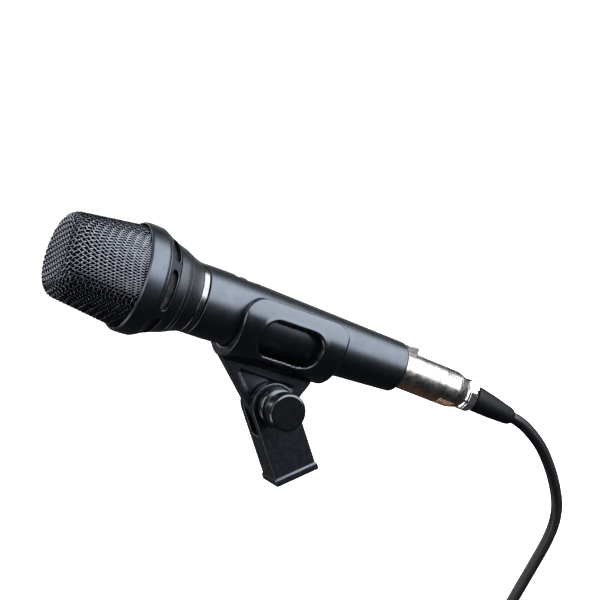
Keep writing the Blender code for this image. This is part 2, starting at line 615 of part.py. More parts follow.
# ---- clip ----
def cradle_outline():
    """Section of the cradle's wall as (station, radius), before it is cut to a C."""
    lead_in = 0.0030
    slack = GAP + 0.00005
    inner_front = handle_radius(CRADLE_FRONT + lead_in) + slack
    inner_rear = handle_radius(CRADLE_REAR) + slack
    return [(CRADLE_FRONT, inner_front + 0.0016), (CRADLE_FRONT, CRADLE_FRONT_R - 0.0008),
            (CRADLE_FRONT + 0.0010, CRADLE_FRONT_R), (CRADLE_REAR - 0.0010, CRADLE_REAR_R),
            (CRADLE_REAR, CRADLE_REAR_R - 0.0010), (CRADLE_REAR, inner_rear + 0.0004),
            (CRADLE_REAR - 0.0010, inner_rear), (CRADLE_FRONT + lead_in, inner_front)]


def tangent_angle(outside, radius, side):
    """Angle at which a line from an outside (x, z) point touches a circle about the pivot."""
    reach = Vector(outside).length
    return atan2(outside[1], outside[0]) + side * acos(radius / reach)


def web_outline():
    """Side view of the web about the pivot: from the cradle's underside round the boss and back."""
    root = AXIS_OFFSET - 0.0190
    foot = AXIS_OFFSET - CRADLE_FRONT_R + 0.0004
    front = PIVOT_STATION - WEB_FRONT
    rear = PIVOT_STATION - WEB_REAR
    first = tangent_angle((foot, front), BOSS_R, 1)
    last = tangent_angle((foot, rear), BOSS_R, -1) + 2 * pi
    outline = [(root, front), (foot, front)]
    steps = 14
    for step in range(steps + 1):
        angle = first + (last - first) * step / steps
        outline.append((BOSS_R * cos(angle), BOSS_R * sin(angle)))
    return outline + [(foot, rear), (root, rear)]


def make_cradle(mic_axis, pivot_axis):
    black = (0.018, 0.019, 0.022)
    cradle = place("clip_cradle", turned(cradle_outline(), 40), mic_axis, black, 0.42)
    ahead = -CRADLE_FRONT - 0.0001
    behind = -CRADLE_REAR - 0.001
    side = rounded([(-0.0300, -0.0903, 0.0), (-0.0220, -0.0903, 0.0), (-0.0100, -0.0893, 0.0060),
                    (-0.0010, ahead, 0.0040), (ARM_HEIGHT, ahead, 0.0105), (ARM_HEIGHT, behind, 0.0105),
                    (-0.0300, behind, 0.0)])
    combine(cradle, cutter("cradle_side", slab(side, -0.030, 0.030), mic_axis), "INTERSECT")
    window = rounded([(WINDOW_TOP, -WINDOW_FRONT, 0.0070), (WINDOW_TOP, -WINDOW_REAR, 0.0070),
                      (-WINDOW_BOTTOM, -WINDOW_REAR, 0.0070), (-WINDOW_BOTTOM, -WINDOW_FRONT, 0.0070)], 4)
    combine(cradle, cutter("cradle_window", slab(window, -0.030, 0.030), mic_axis))
    web = slab(web_outline(), -WEB_HALF, WEB_HALF)
    combine(cradle, cutter("web_plate", web, pivot_axis), "UNION")
    recess = rounded([(0.0112, 0.0225, 0.0010), (0.0000, 0.0108, 0.0010), (0.0070, -0.0045, 0.0010),
                      (0.0112, -0.0118, 0.0010)], 2)
    floor = WEB_HALF - WEB_RECESS
    for name, low, high in (("near_recess", -0.006, -floor), ("far_recess", floor, 0.006)):
        combine(cradle, cutter(name, slab(recess, low, high), pivot_axis))
    bore = [(-0.010, 0.0), (-0.010, BOLT_R + GAP), (0.010, BOLT_R + GAP), (0.010, 0.0)]
    combine(cradle, cutter("web_bore", turned(bore, 20, about="Y"), pivot_axis))
    front = CRADLE_FRONT - 0.002
    rear = CRADLE_REAR + 0.002
    room = [(front, 0.0), (front, handle_radius(CRADLE_FRONT) + GAP),
            (rear, handle_radius(CRADLE_REAR) + GAP), (rear, 0.0)]
    combine(cradle, cutter("handle_room", turned(room, 40), mic_axis))


def make_base():
    black = (0.020, 0.021, 0.025)
    half_x = BASE_X / 2
    half_y = BASE_Y / 2
    profile = [(-half_x, LIP_HEIGHT), (half_x, LIP_HEIGHT)]
    for step in range(13):
        angle = pi * step / 12
        profile.append((half_x * cos(angle), PIVOT_HEIGHT + half_x * sin(angle)))
    fork = place("clip_base", slab(profile, -half_y, half_y), None, black, 0.45)
    lip = block((-half_x - LIP, -half_y - LIP, 0.0), (half_x + LIP, half_y + LIP, LIP_HEIGHT + 0.0004))
    combine(fork, cutter("base_lip", lip, None), "UNION")
    slot = WEB_HALF + GAP
    combine(fork, cutter("base_slot", block((-0.02, -slot, SLOT_FLOOR), (0.02, slot, 0.06)), None))
    bore = turned([(-0.02, 0.0), (-0.02, BOLT_R + GAP), (0.02, BOLT_R + GAP), (0.02, 0.0)], 20, about="Y")
    bmesh.ops.translate(bore, verts=bore.verts, vec=PIVOT)
    combine(fork, cutter("base_bore", bore, None))
    seat = NUT_FRONT - GAP
    wide = NUT_R + 0.0004
    pocket = turned([(seat, 0.0), (seat, wide), (0.0200, wide), (0.0200, 0.0)], 6, about="Y")
    bmesh.ops.translate(pocket, verts=pocket.verts, vec=PIVOT)
    combine(fork, cutter("nut_pocket", pocket, None))
    well = turned([(0.001, 0.0), (0.001, INSERT_R + GAP), (-INSERT_DEPTH - GAP, INSERT_R + GAP),
                   (-INSERT_DEPTH - GAP, 0.0)], 28)
    combine(fork, cutter("insert_well", well, None))

    bush = [(0.0, THREAD_MINOR_R + 0.0004), (0.0, INSERT_R), (-INSERT_DEPTH, INSERT_R),
            (-INSERT_DEPTH, THREAD_MINOR_R), (-0.0006, THREAD_MINOR_R)]
    place("thread_insert", turned(bush, 28), None, (0.62, 0.50, 0.28), 0.35, 1.0)
    nut_axis = guide("nut_axis", PIVOT, 0.0)
    nut_rear = NUT_FRONT + 0.0030
    hexagon = turned([(NUT_FRONT, 0.0), (NUT_FRONT, NUT_R), (nut_rear, NUT_R), (nut_rear, 0.0)], 6, about="Y")
    nut = place("pivot_nut", hexagon, nut_axis, (0.6, 0.6, 0.6), 0.35, 1.0)
    thread = turned([(0.0, 0.0), (0.0, BOLT_R + GAP), (0.02, BOLT_R + GAP), (0.02, 0.0)], 20, about="Y")
    combine(nut, cutter("nut_thread", thread, nut_axis))


def make_knob(axis):
    black = (0.016, 0.017, 0.020)
    bore = BOLT_R + GAP
    washer_face = -BASE_Y / 2 - GAP
    washer = [(washer_face, bore), (washer_face, 0.0062), (washer_face - 0.0006, 0.0062),
              (washer_face - 0.0006, bore)]
    place("knob_washer", turned(washer, 24, about="Y"), axis, (0.6, 0.6, 0.6), 0.35, 1.0)
    start = washer_face - 0.0009
    shape = [(start, bore), (start, 0.0070), (start - 0.0010, 0.0070), (start - 0.0014, 0.0088),
             (start - 0.0020, KNOB_FLANGE_R), (-0.0145, KNOB_FLANGE_R), (-0.0152, 0.0088), (-0.0157, 0.0072),
             (-0.0188, 0.0072), (-0.0193, 0.0082), (-0.0200, KNOB_R), (-0.0249, KNOB_R), (-0.0257, 0.0083),
             (-KNOB_FACE, 0.0074), (-KNOB_FACE, 0.0), (-0.0233, 0.0), (-0.0233, bore)]
    place("clamp_knob", turned(shape, 28, about="Y"), axis, black, 0.4)
    rod = [(-0.0230, 0.0), (-0.0230, BOLT_R), (0.0077, BOLT_R), (0.0082, BOLT_R - 0.0005), (0.0082, 0.0)]
    place("clamp_bolt", turned(rod, 20, about="Y"), axis, (0.6, 0.6, 0.6), 0.3, 1.0)


def main():
    clear_scene()
    mic_axis = guide("mic_axis", FRONT, MIC_TURN)
    pivot_axis = guide("pivot_axis", PIVOT, MIC_TURN)
    tail = FRONT - HANDLE_TAIL * HEAD
    plug_axis = guide("plug_axis", tail, MIC_TURN + PLUG_DROOP)
    plug_dir = Matrix.Rotation(MIC_TURN + PLUG_DROOP, 3, "Y") @ Vector((0.0, 0.0, -1.0))
    boot_dir = Matrix.Rotation(MIC_TURN + PLUG_DROOP + BOOT_DROOP, 3, "Y") @ Vector((0.0, 0.0, -1.0))
    boot_start = tail + (PLUG_RING_REAR + 0.0009) * plug_dir
    boot_axis = guide("boot_axis", boot_start, MIC_TURN + PLUG_DROOP + BOOT_DROOP)

    make_head(mic_axis)
    make_neck_and_handle(mic_axis)
    make_capsule(mic_axis)
    make_leads(mic_axis)
    make_socket(mic_axis)
    make_plug(plug_axis, boot_axis)
    make_lead(boot_start + BOOT_LENGTH * boot_dir, boot_dir)
    make_cradle(mic_axis, pivot_axis)
    make_base()
    make_knob(guide("knob_axis", PIVOT, 0.0))


main()
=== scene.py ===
"""Finished looks of a handheld dynamic microphone in its stand clip, with its plug and lead.

Metres, +Z up. The microphone's own frame has +X up, +Y across and +Z towards the head, from the
front of the grille, and a station is a distance back along that axis. Azimuths round the axis
are measured from the near side (-Y) towards the top.
"""

import json
from math import acos, atan2, cos, pi, radians, sin, tan

import bmesh
import bpy
import numpy as np
from mathutils import Matrix, Vector

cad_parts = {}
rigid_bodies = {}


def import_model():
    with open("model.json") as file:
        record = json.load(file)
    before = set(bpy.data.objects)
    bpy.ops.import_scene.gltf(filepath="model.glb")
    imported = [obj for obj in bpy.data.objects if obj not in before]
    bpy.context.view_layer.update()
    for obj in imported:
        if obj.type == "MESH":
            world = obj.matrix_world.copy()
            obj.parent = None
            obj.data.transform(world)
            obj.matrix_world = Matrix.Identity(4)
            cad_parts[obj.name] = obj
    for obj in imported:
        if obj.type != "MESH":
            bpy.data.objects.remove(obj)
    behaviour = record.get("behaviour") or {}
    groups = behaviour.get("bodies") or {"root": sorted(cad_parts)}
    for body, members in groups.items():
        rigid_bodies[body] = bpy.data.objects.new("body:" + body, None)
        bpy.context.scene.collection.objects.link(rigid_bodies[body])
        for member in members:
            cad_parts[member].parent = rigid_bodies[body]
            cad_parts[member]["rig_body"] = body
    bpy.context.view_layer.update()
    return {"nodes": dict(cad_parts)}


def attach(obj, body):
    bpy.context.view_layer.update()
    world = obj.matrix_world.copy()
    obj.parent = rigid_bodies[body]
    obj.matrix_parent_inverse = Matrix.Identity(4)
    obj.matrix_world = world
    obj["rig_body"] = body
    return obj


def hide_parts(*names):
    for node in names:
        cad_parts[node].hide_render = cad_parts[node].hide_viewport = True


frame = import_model()

# ---- the shared frame ----
GAP = 0.0003
WELD = 0.000001
TILT = radians(39.5)
HEAD = Vector((-cos(TILT), 0.0, sin(TILT)))
UP = Vector((sin(TILT), 0.0, cos(TILT)))
NEAR = Vector((0.0, -1.0, 0.0))
PIVOT = Vector((0.0, 0.0, 0.0377))
AXIS_OFFSET = 0.0355
PIVOT_STATION = 0.1223
FRONT = PIVOT + AXIS_OFFSET * UP + PIVOT_STATION * HEAD
HANDLE_TAIL = 0.1805
HANDLE_TAPER = 0.0800
HANDLE_R = 0.0168
TAIL_R = 0.01245
MIC_TURN = TILT - pi / 2
PLUG_TURN = MIC_TURN + radians(2.5)
BOOT_TURN = PLUG_TURN + radians(5.0)
TAIL = FRONT - HANDLE_TAIL * HEAD
PLUG_DIR = Vector((-sin(PLUG_TURN), 0.0, -cos(PLUG_TURN)))
PLUG_UP = Vector((cos(PLUG_TURN), 0.0, -sin(PLUG_TURN)))
BOOT_DIR = Vector((-sin(BOOT_TURN), 0.0, -cos(BOOT_TURN)))
BOOT_START = TAIL + 0.0465 * PLUG_DIR
BOOT_LENGTH = 0.0250
CORD_R = 0.0030
LEAD_X = 0.0641
COIL_CENTRE = Vector((LEAD_X + 3 * CORD_R, 0.0, -0.2153))
COIL_MEAN_R = 0.0360
JOIN_BEND_R = 0.0300
FAR_MOUTH = COIL_CENTRE + Vector((3 * CORD_R, 0.0426, -0.0255))


def axes(origin, turn):
    return Matrix.Translation(origin) @ Matrix.Rotation(turn, 4, "Y")


MIC = axes(FRONT, MIC_TURN)
PLUG = axes(TAIL, PLUG_TURN)
BOOT = axes(BOOT_START, BOOT_TURN)
CLIP = axes(PIVOT, MIC_TURN)
KNOB = axes(PIVOT, 0.0)
WORLD = Matrix.Identity(4)


# ---- camera ----
def make_camera():
    middle = PIVOT + AXIS_OFFSET * UP + 0.0017 * HEAD
    swing = radians(24.5)
    roll = radians(19.3)
    back = cos(swing) * NEAR + sin(swing) * HEAD
    level = (-HEAD + HEAD.dot(back) * back).normalized()
    right = cos(roll) * level + sin(roll) * UP
    above = -sin(roll) * level + cos(roll) * UP
    data = bpy.data.cameras.new("camera")
    data.lens = 108.0
    data.sensor_width = 36.0
    data.clip_start = 0.01
    data.clip_end = 100.0
    camera = bpy.data.objects.new("camera", data)
    bpy.context.scene.collection.objects.link(camera)
    place = Matrix((right, above, back)).transposed().to_4x4()
    camera.matrix_world = Matrix.Translation(middle + 0.85 * back + 0.0153 * UP) @ place
    bpy.context.scene.camera = camera
    return middle


# ---- materials ----
def wire(tree, source, target):
    tree.links.new(source, target)


def node(tree, kind, **inputs):
    made = tree.nodes.new(kind)
    for key, value in inputs.items():
        made.inputs[key.replace("_", " ")].default_value = value
    return made


def noise(tree, coords, scale, detail=4.0, rough=0.55):
    made = node(tree, "ShaderNodeTexNoise", Scale=scale, Detail=detail, Roughness=rough)
    wire(tree, coords, made.inputs["Vector"])
    return made.outputs["Fac"]


def span(tree, source, low, high, out_low, out_high):
    made = node(tree, "ShaderNodeMapRange", From_Min=low, From_Max=high, To_Min=out_low, To_Max=out_high)
    wire(tree, source, made.inputs["Value"])
    return made.outputs["Result"]


def mixed(tree, factor, first, second):
    made = tree.nodes.new("ShaderNodeMix")
    made.data_type = "RGBA"
    wire(tree, factor, made.inputs[0])
    for socket, value in ((made.inputs[6], first), (made.inputs[7], second)):
        if isinstance(value, tuple):
            socket.default_value = (*value, 1.0)
        else:
            wire(tree, value, socket)
    return made.outputs[2]


def times(tree, first, second):
    made = tree.nodes.new("ShaderNodeMath")
    made.operation = "MULTIPLY"
    wire(tree, first, made.inputs[0])
    wire(tree, second, made.inputs[1])
    return made.outputs[0]


def finish(name, colour, tint, rough, metallic=0.0, patch=180.0, fine=2600.0, spread=0.06, bump=0.15,
           depth=0.00004, grain="noise", stretch=(1.0, 1.0, 1.0), turn=0.0, underside_reflection=None, specular=0.5,
           coat=0.0, hue=(1.0, 1.0, 1.0)):
    """A surface with patchy colour, uneven gloss and a fine raised grain.

    The underside tint (colour, axis point, up, low, high) is a painted reflection: a patchy colour that grows
    below the piece's own axis.
    """
    look = bpy.data.materials.new(name)
    look.use_nodes = True
    tree = look.node_tree
    shader = tree.nodes["Principled BSDF"]
    shader.inputs["Metallic"].default_value = metallic
    shader.inputs["Specular IOR Level"].default_value = specular
    shader.inputs["Coat Weight"].default_value = coat
    shader.inputs["Coat Roughness"].default_value = 0.12
    shader.inputs["Specular Tint"].default_value = (*hue, 1.0)
    place = tree.nodes.new("ShaderNodeTexCoord").outputs["Object"]
    mapping = node(tree, "ShaderNodeMapping", Scale=stretch, Rotation=(0.0, turn, 0.0))
    wire(tree, place, mapping.inputs["Vector"])
    coords = mapping.outputs["Vector"]

    patches = span(tree, noise(tree, coords, patch), 0.35, 0.65, 0.0, 1.0)
    base = mixed(tree, patches, colour, tint)
    grainy = noise(tree, coords, fine, 3.0)
    smudge = noise(tree, coords, patch * 1.7, 5.0, 0.65)
    gloss = span(tree, smudge, 0.3, 0.7, max(0.02, rough - spread), rough + spread)
    # Painted reflection: a patchy tint below the piece's axis stands in for a reflection on its underside.
    if underside_reflection:
        shade, point, above, low, high = underside_reflection
        offset = tree.nodes.new("ShaderNodeVectorMath")
        offset.operation = "SUBTRACT"
        offset.inputs[1].default_value = point
        wire(tree, place, offset.inputs[0])
        height = tree.nodes.new("ShaderNodeVectorMath")
        height.operation = "DOT_PRODUCT"
        height.inputs[1].default_value = above
        wire(tree, offset.outputs["Vector"], height.inputs[0])
        under = span(tree, height.outputs["Value"], low, high, 1.0, 0.0)
        painted_reflection_mask = times(tree, under, span(tree, smudge, 0.3, 0.6, 0.55, 1.0))
        base = mixed(tree, painted_reflection_mask, base, shade)
    wire(tree, base, shader.inputs["Base Color"])
    wire(tree, gloss, shader.inputs["Roughness"])

    height = grainy
    if grain == "weave":
        warp = tree.nodes.new("ShaderNodeTexWave")
        warp.inputs["Scale"].default_value = fine
        warp.bands_direction = "X"
        weft = tree.nodes.new("ShaderNodeTexWave")
        weft.inputs["Scale"].default_value = fine
        weft.bands_direction = "Z"
        wire(tree, coords, warp.inputs["Vector"])
        wire(tree, coords, weft.inputs["Vector"])
        height = times(tree, warp.outputs["Fac"], weft.outputs["Fac"])
    if grain == "cells":
        cells = node(tree, "ShaderNodeTexVoronoi", Scale=fine)
        wire(tree, coords, cells.inputs["Vector"])
        height = cells.outputs["Distance"]
    raised = node(tree, "ShaderNodeBump", Strength=bump, Distance=depth)
    wire(tree, height, raised.inputs["Height"])
    wire(tree, raised.outputs["Normal"], shader.inputs["Normal"])
    return look


PAINT = finish("satin_black_paint", (0.030, 0.035, 0.043), (0.036, 0.041, 0.050), 0.36, 1.0, bump=0.12,
               fine=3200.0, spread=0.03)
# A darker copy of the satin paint for the neck: painted shade, for the dimmer highlight the light gives its
# taper.
SHADED_NECK_PAINT = finish("satin_paint_shaded_for_neck", (0.024, 0.027, 0.032), (0.030, 0.033, 0.039), 0.38, 1.0, bump=0.12,
                    fine=3200.0, spread=0.03)
WIRE = finish("blackened_steel_wire", (0.044, 0.049, 0.060), (0.074, 0.080, 0.094), 0.24, 1.0, patch=500.0,
              fine=5200.0, spread=0.08, bump=0.2)
FOAM = finish("black_foam", (0.0004, 0.0004, 0.0004), (0.0012, 0.0012, 0.0012), 0.95, grain="cells",
              fine=1600.0, bump=0.9, depth=0.0003, specular=0.05)
SILVER = finish("polished_band", (0.070, 0.072, 0.076), (0.115, 0.117, 0.122), 0.24, 1.0, patch=420.0,
                bump=0.08, fine=2500.0, stretch=(1.0, 1.0, 6.0), turn=-MIC_TURN)
NICKEL_TONES = ((0.10, 0.097, 0.094), (0.22, 0.216, 0.212), 0.33, 1.0)
# The brown underside of the plug's nickel is a painted reflection, a brown tint below its axis.
NICKEL = finish("worn_nickel", *NICKEL_TONES, patch=300.0, fine=1900.0, spread=0.10, bump=0.14,
                underside_reflection=((0.62, 0.34, 0.20), TAIL, PLUG_UP, -0.0080, -0.0044))
FAR_NICKEL = finish("worn_nickel_far", *NICKEL_TONES, patch=300.0, fine=1900.0, spread=0.10, bump=0.14)
CHROME = finish("bright_chrome", (0.72, 0.72, 0.72), (0.82, 0.82, 0.82), 0.10, 1.0, patch=300.0, fine=1500.0,
                spread=0.03, bump=0.03)
STEEL = finish("zinc_plated_steel", (0.30, 0.30, 0.31), (0.42, 0.42, 0.43), 0.32, 1.0, patch=700.0, bump=0.15)
BRASS = finish("machined_brass", (0.40, 0.28, 0.12), (0.52, 0.38, 0.18), 0.30, 1.0, patch=600.0, bump=0.12,
               stretch=(1.0, 1.0, 5.0))
GOLD = finish("gold_contact", (0.75, 0.56, 0.24), (0.83, 0.66, 0.34), 0.22, 1.0, patch=900.0, bump=0.05)
PIN = finish("silvered_pin", (0.62, 0.60, 0.54), (0.74, 0.72, 0.66), 0.22, 1.0, patch=900.0, bump=0.06,
             stretch=(1.0, 1.0, 4.0))
COPPER = finish("enamelled_copper", (0.48, 0.18, 0.07), (0.62, 0.26, 0.10), 0.30, 1.0, fine=6000.0,
                stretch=(1.0, 1.0, 6.0), turn=-MIC_TURN, bump=0.3)
FILM = finish("diaphragm_film", (0.50, 0.48, 0.43), (0.62, 0.60, 0.55), 0.22, patch=420.0, bump=0.15,
              coat=0.4)
MAGNET = finish("plated_magnet", (0.20, 0.20, 0.21), (0.27, 0.27, 0.28), 0.36, 0.9, patch=500.0, bump=0.1)
CLIP_BLACK = finish("gloss_black_nylon", (0.0006, 0.0007, 0.0010), (0.0012, 0.0013, 0.0018), 0.25,
                    patch=220.0, fine=2400.0, spread=0.03, bump=0.08, hue=(0.72, 0.84, 1.0))
BASE_BLACK = finish("satin_black_nylon", (0.0006, 0.0007, 0.0010), (0.0011, 0.0012, 0.0018), 0.27,
                    patch=200.0, fine=2200.0, spread=0.03, bump=0.10, hue=(0.72, 0.84, 1.0))
KNOB_BLACK = finish("knob_black_nylon", (0.0006, 0.0006, 0.0009), (0.0011, 0.0011, 0.0015), 0.20,
                    patch=240.0, fine=2600.0, spread=0.03, bump=0.06, hue=(0.82, 0.90, 1.0))
DARK = finish("moulded_insert", (0.002, 0.002, 0.0025), (0.004, 0.004, 0.0045), 0.45, patch=400.0, bump=0.2)
GREY = finish("switch_plastic", (0.004, 0.004, 0.0045), (0.008, 0.008, 0.009), 0.40, patch=500.0, bump=0.15)
RUBBER = finish("soft_rubber", (0.0010, 0.0012, 0.0022), (0.0020, 0.0023, 0.0040), 0.50, patch=260.0,
                fine=3000.0, spread=0.06, bump=0.3, depth=0.00005, specular=0.08)
SHEATH = finish("lead_sheath", (0.0009, 0.0011, 0.0018), (0.0018, 0.0020, 0.0032), 0.38, patch=160.0,
                fine=2400.0, spread=0.06, bump=0.2, depth=0.00005, specular=0.16)
STRAP = finish("woven_strap", (0.002, 0.002, 0.0025), (0.005, 0.005, 0.0055), 0.85, grain="weave", fine=520.0,
               bump=0.8, depth=0.0003, specular=0.2)
MESH = finish("vent_cloth", (0.02, 0.02, 0.021), (0.05, 0.05, 0.053), 0.42, 1.0, grain="weave", fine=420.0,
              bump=1.0, depth=0.0004)
RED = finish("red_insulation", (0.35, 0.025, 0.02), (0.45, 0.04, 0.03), 0.42, patch=600.0, bump=0.1)
BLUE = finish("blue_insulation", (0.02, 0.05, 0.28), (0.03, 0.07, 0.36), 0.42, patch=600.0, bump=0.1)

KEPT = {
    "grille_foam": FOAM, "vent_mesh": MESH, "switch_body": GREY, "capsule_cover": DARK,
    "capsule_housing": DARK, "magnet_pot": STEEL, "magnet": MAGNET, "top_plate": STEEL,
    "voice_coil": COPPER, "diaphragm": FILM, "shock_mount": RUBBER, "lead_hot": RED, "lead_cold": BLUE,
    "xlr_insert": DARK, "xlr_pin_1": PIN, "xlr_pin_2": PIN, "xlr_pin_3": PIN, "insert_screw": STEEL,
    "plug_insert": DARK, "plug_contact_1": GOLD, "plug_contact_2": GOLD, "plug_contact_3": GOLD,
    "latch_spring": STEEL, "plug_chuck": DARK, "far_insert": DARK, "far_pin_1": PIN, "far_pin_2": PIN,
    "far_pin_3": PIN, "pivot_nut": STEEL, "knob_washer": STEEL, "clamp_bolt": STEEL,
}


# ---- making pieces ----
def piece(name, bm, matrix, stands_for, look, soft_edge=38.0):
    """Turn a bmesh in a local frame into a shown piece in place of a CAD node."""
    bmesh.ops.recalc_face_normals(bm, faces=bm.faces)
    mesh = bpy.data.meshes.new(name)
    bm.to_mesh(mesh)
    bm.free()
    mesh.transform(matrix)
    made = bpy.data.objects.new(name, mesh)
    bpy.context.scene.collection.objects.link(made)
    adopt(made, stands_for, look)
    smooth(made, soft_edge)
    return made


def adopt(made, stands_for, look):
    body = frame["nodes"][stands_for]["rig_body"]
    made.data.materials.clear()
    made.data.materials.append(look)
    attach(made, body)
    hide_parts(stands_for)


def smooth(made, soft_edge):
    made.data.shade_smooth()
    made.data.set_sharp_from_angle(angle=radians(soft_edge))


def settle(made):
    """Make the modifiers' result the piece's own mesh."""
    bpy.context.view_layer.update()
    graph = bpy.context.evaluated_depsgraph_get()
    mesh = bpy.data.meshes.new_from_object(made.evaluated_get(graph), depsgraph=graph)
    made.modifiers.clear()
    made.data = mesh


def carve(made, tools, operation="DIFFERENCE"):
    """Cut or join solids, given as (bmesh, matrix) in their own frames."""
    helpers = []
    for bm, matrix in tools:
        bmesh.ops.recalc_face_normals(bm, faces=bm.faces)
        mesh = bpy.data.meshes.new("tool")
        bm.to_mesh(mesh)
        bm.free()
        mesh.transform(matrix)
        helper = bpy.data.objects.new("tool", mesh)
        bpy.context.scene.collection.objects.link(helper)
        step = made.modifiers.new("cut", "BOOLEAN")
        step.operation = operation
        step.solver = "EXACT"
        step.object = helper
        helpers.append(helper)
    settle(made)
    for helper in helpers:
        bpy.data.objects.remove(helper)


def mould(made, voxel, rounds):
    """Round every edge a little, as a moulding or a casting has them."""
    look = made.data.materials[0]
    remesh = made.modifiers.new("remesh", "REMESH")
    remesh.mode = "VOXEL"
    remesh.voxel_size = voxel
    ease = made.modifiers.new("ease", "SMOOTH")
    ease.factor = 0.5
    ease.iterations = rounds
    settle(made)
    made.data.materials.clear()
    made.data.materials.append(look)
    made.data.shade_smooth()


def even_normals(made):
    step = made.modifiers.new("normals", "WEIGHTED_NORMAL")
    step.keep_sharp = True


def soften(outline, radius, steps=3):
    """Round the corners of a closed outline of (along, radius) points."""
    rounded_line = []
    for index, point in enumerate(outline):
        here = Vector(point)
        back = Vector(outline[index - 1]) - here
        ahead = Vector(outline[(index + 1) % len(outline)]) - here
        bend = pi - back.angle(ahead)
        if here.y < WELD or bend < radians(12):
            rounded_line.append(tuple(here))
            continue
        reach = min(radius * tan(bend / 2), 0.42 * back.length, 0.42 * ahead.length)
        first = here + back.normalized() * reach
        last = here + ahead.normalized() * reach
        for step in range(steps + 1):
            t = step / steps
            rounded_line.append(tuple(first * (1 - t) ** 2 + here * (2 * t * (1 - t)) + last * t * t))
    return rounded_line


def lathe(outline, sides, about="Z", shape=None):
    """Spin a closed outline of (along, radius) into a solid.

    shape(along, radius, angle), where given, gives the radius at that place and angle.
    """
    bm = bmesh.new()
    rings = []
    for along, radius in outline:
        ring = []
        for index in range(1 if radius < WELD else sides):
            angle = 2 * pi * index / sides
            reach = shape(along, radius, angle) if shape else radius
            if about == "Z":
                ring.append(bm.verts.new((reach * cos(angle), reach * sin(angle), -along)))
            else:
                ring.append(bm.verts.new((reach * cos(angle), along, reach * sin(angle))))
        rings.append(ring)
    for first, second in zip(rings, rings[1:] + rings[:1]):
        if len(first) == 1 and len(second) == 1:
            continue
        for index in range(sides):
            after = (index + 1) % sides
            corners = [first[index % len(first)], first[after % len(first)],
                       second[after % len(second)], second[index % len(second)]]
            unique = list(dict.fromkeys(corners))
            bm.faces.new(unique)
    return bm


def block(low, high):
    bm = bmesh.new()
    size = Vector(high) - Vector(low)
    matrix = Matrix.Translation((Vector(high) + Vector(low)) / 2) @ Matrix.Diagonal((*size, 1.0))
    bmesh.ops.create_cube(bm, size=1.0, matrix=matrix)
    return bm


def slab(outline, low_y, high_y):
    """Extrude an (x, z) outline along Y."""
    bm = bmesh.new()
    face = bm.faces.new([bm.verts.new((x, low_y, z)) for x, z in outline])
    grown = bmesh.ops.extrude_face_region(bm, geom=[face])
    corners = [item for item in grown["geom"] if isinstance(item, bmesh.types.BMVert)]
    bmesh.ops.translate(bm, verts=corners, vec=(0.0, high_y - low_y, 0.0))
    return bm


def rounded(corners, steps=9):
    """Outline through (x, z, radius) corners, each rounded by an arc."""
    outline = []
    for index, (x, z, radius) in enumerate(corners):
        here = Vector((x, z))
        if radius == 0.0:
            outline.append(tuple(here))
            continue
        back = (Vector(corners[index - 1][:2]) - here).normalized()
        ahead = (Vector(corners[(index + 1) % len(corners)][:2]) - here).normalized()
        half = back.angle(ahead) / 2
        reach = radius / sin(half) * cos(half)
        centre = here + (back + ahead).normalized() * (radius / sin(half))
        start = here + back * reach - centre
        sweep = start.angle_signed(here + ahead * reach - centre)
        for step in range(steps + 1):
            arm = start.copy()
            arm.rotate(Matrix.Rotation(-sweep * step / steps, 2))
            outline.append(tuple(centre + arm))
    return outline


def handle_radius(station):
    part = max(0.0, (station - HANDLE_TAPER) / (HANDLE_TAIL - HANDLE_TAPER))
    return HANDLE_R + (TAIL_R - HANDLE_R) * part


# ---- lead ----
def smooth_route(route, count):
    """count + 1 evenly spaced points on a Catmull-Rom curve through the route's own points."""
    ends = [2 * route[0] - route[1], *route, 2 * route[-1] - route[-2]]
    fine = [route[0]]
    for a, b, c, d in zip(ends, ends[1:], ends[2:], ends[3:]):
        for step in range(1, 21):
            t = step / 20
            fine.append(0.5 * (2 * b + (c - a) * t + (2 * a - 5 * b + 4 * c - d) * t ** 2
                               + (3 * b - a - 3 * c + d) * t ** 3))
    lengths = np.cumsum([0.0] + [(b - a).length for a, b in zip(fine, fine[1:])])
    goals = np.linspace(0.0, lengths[-1], count + 1)
    table = np.array(fine)
    return [Vector([np.interp(goal, lengths, table[:, k]) for k in range(3)]) for goal in goals]


def hanging_route():
    """From inside the boot, out and down under its own weight, to the bend that joins the coil."""
    route = [BOOT_START + (BOOT_LENGTH - 0.0080) * BOOT_DIR, BOOT_START + (BOOT_LENGTH + 0.0006) * BOOT_DIR,
             BOOT_START + (BOOT_LENGTH + 0.0051) * BOOT_DIR]
    for x, z in ((0.1268, -0.0323), (0.1306, -0.0428), (0.1322, -0.0543), (0.1321, -0.0653),
                 (0.1304, -0.0758), (0.1260, -0.0845), (0.1188, -0.0921), (0.1091, -0.0998),
                 (0.0986, -0.1078), (0.0889, -0.1153), (0.0791, -0.1233), (0.0708, -0.1318),
                 (0.0659, -0.1413)):
        route.append(Vector((x, 0.0, z)))
    bend_top = COIL_CENTRE.z + 0.0655
    for degrees in range(0, 66, 13):
        angle = radians(degrees)
        aside = JOIN_BEND_R * (1 - cos(angle))
        route.append(Vector((LEAD_X, aside, bend_top - JOIN_BEND_R * sin(angle))))
    return smooth_route(route, 34)


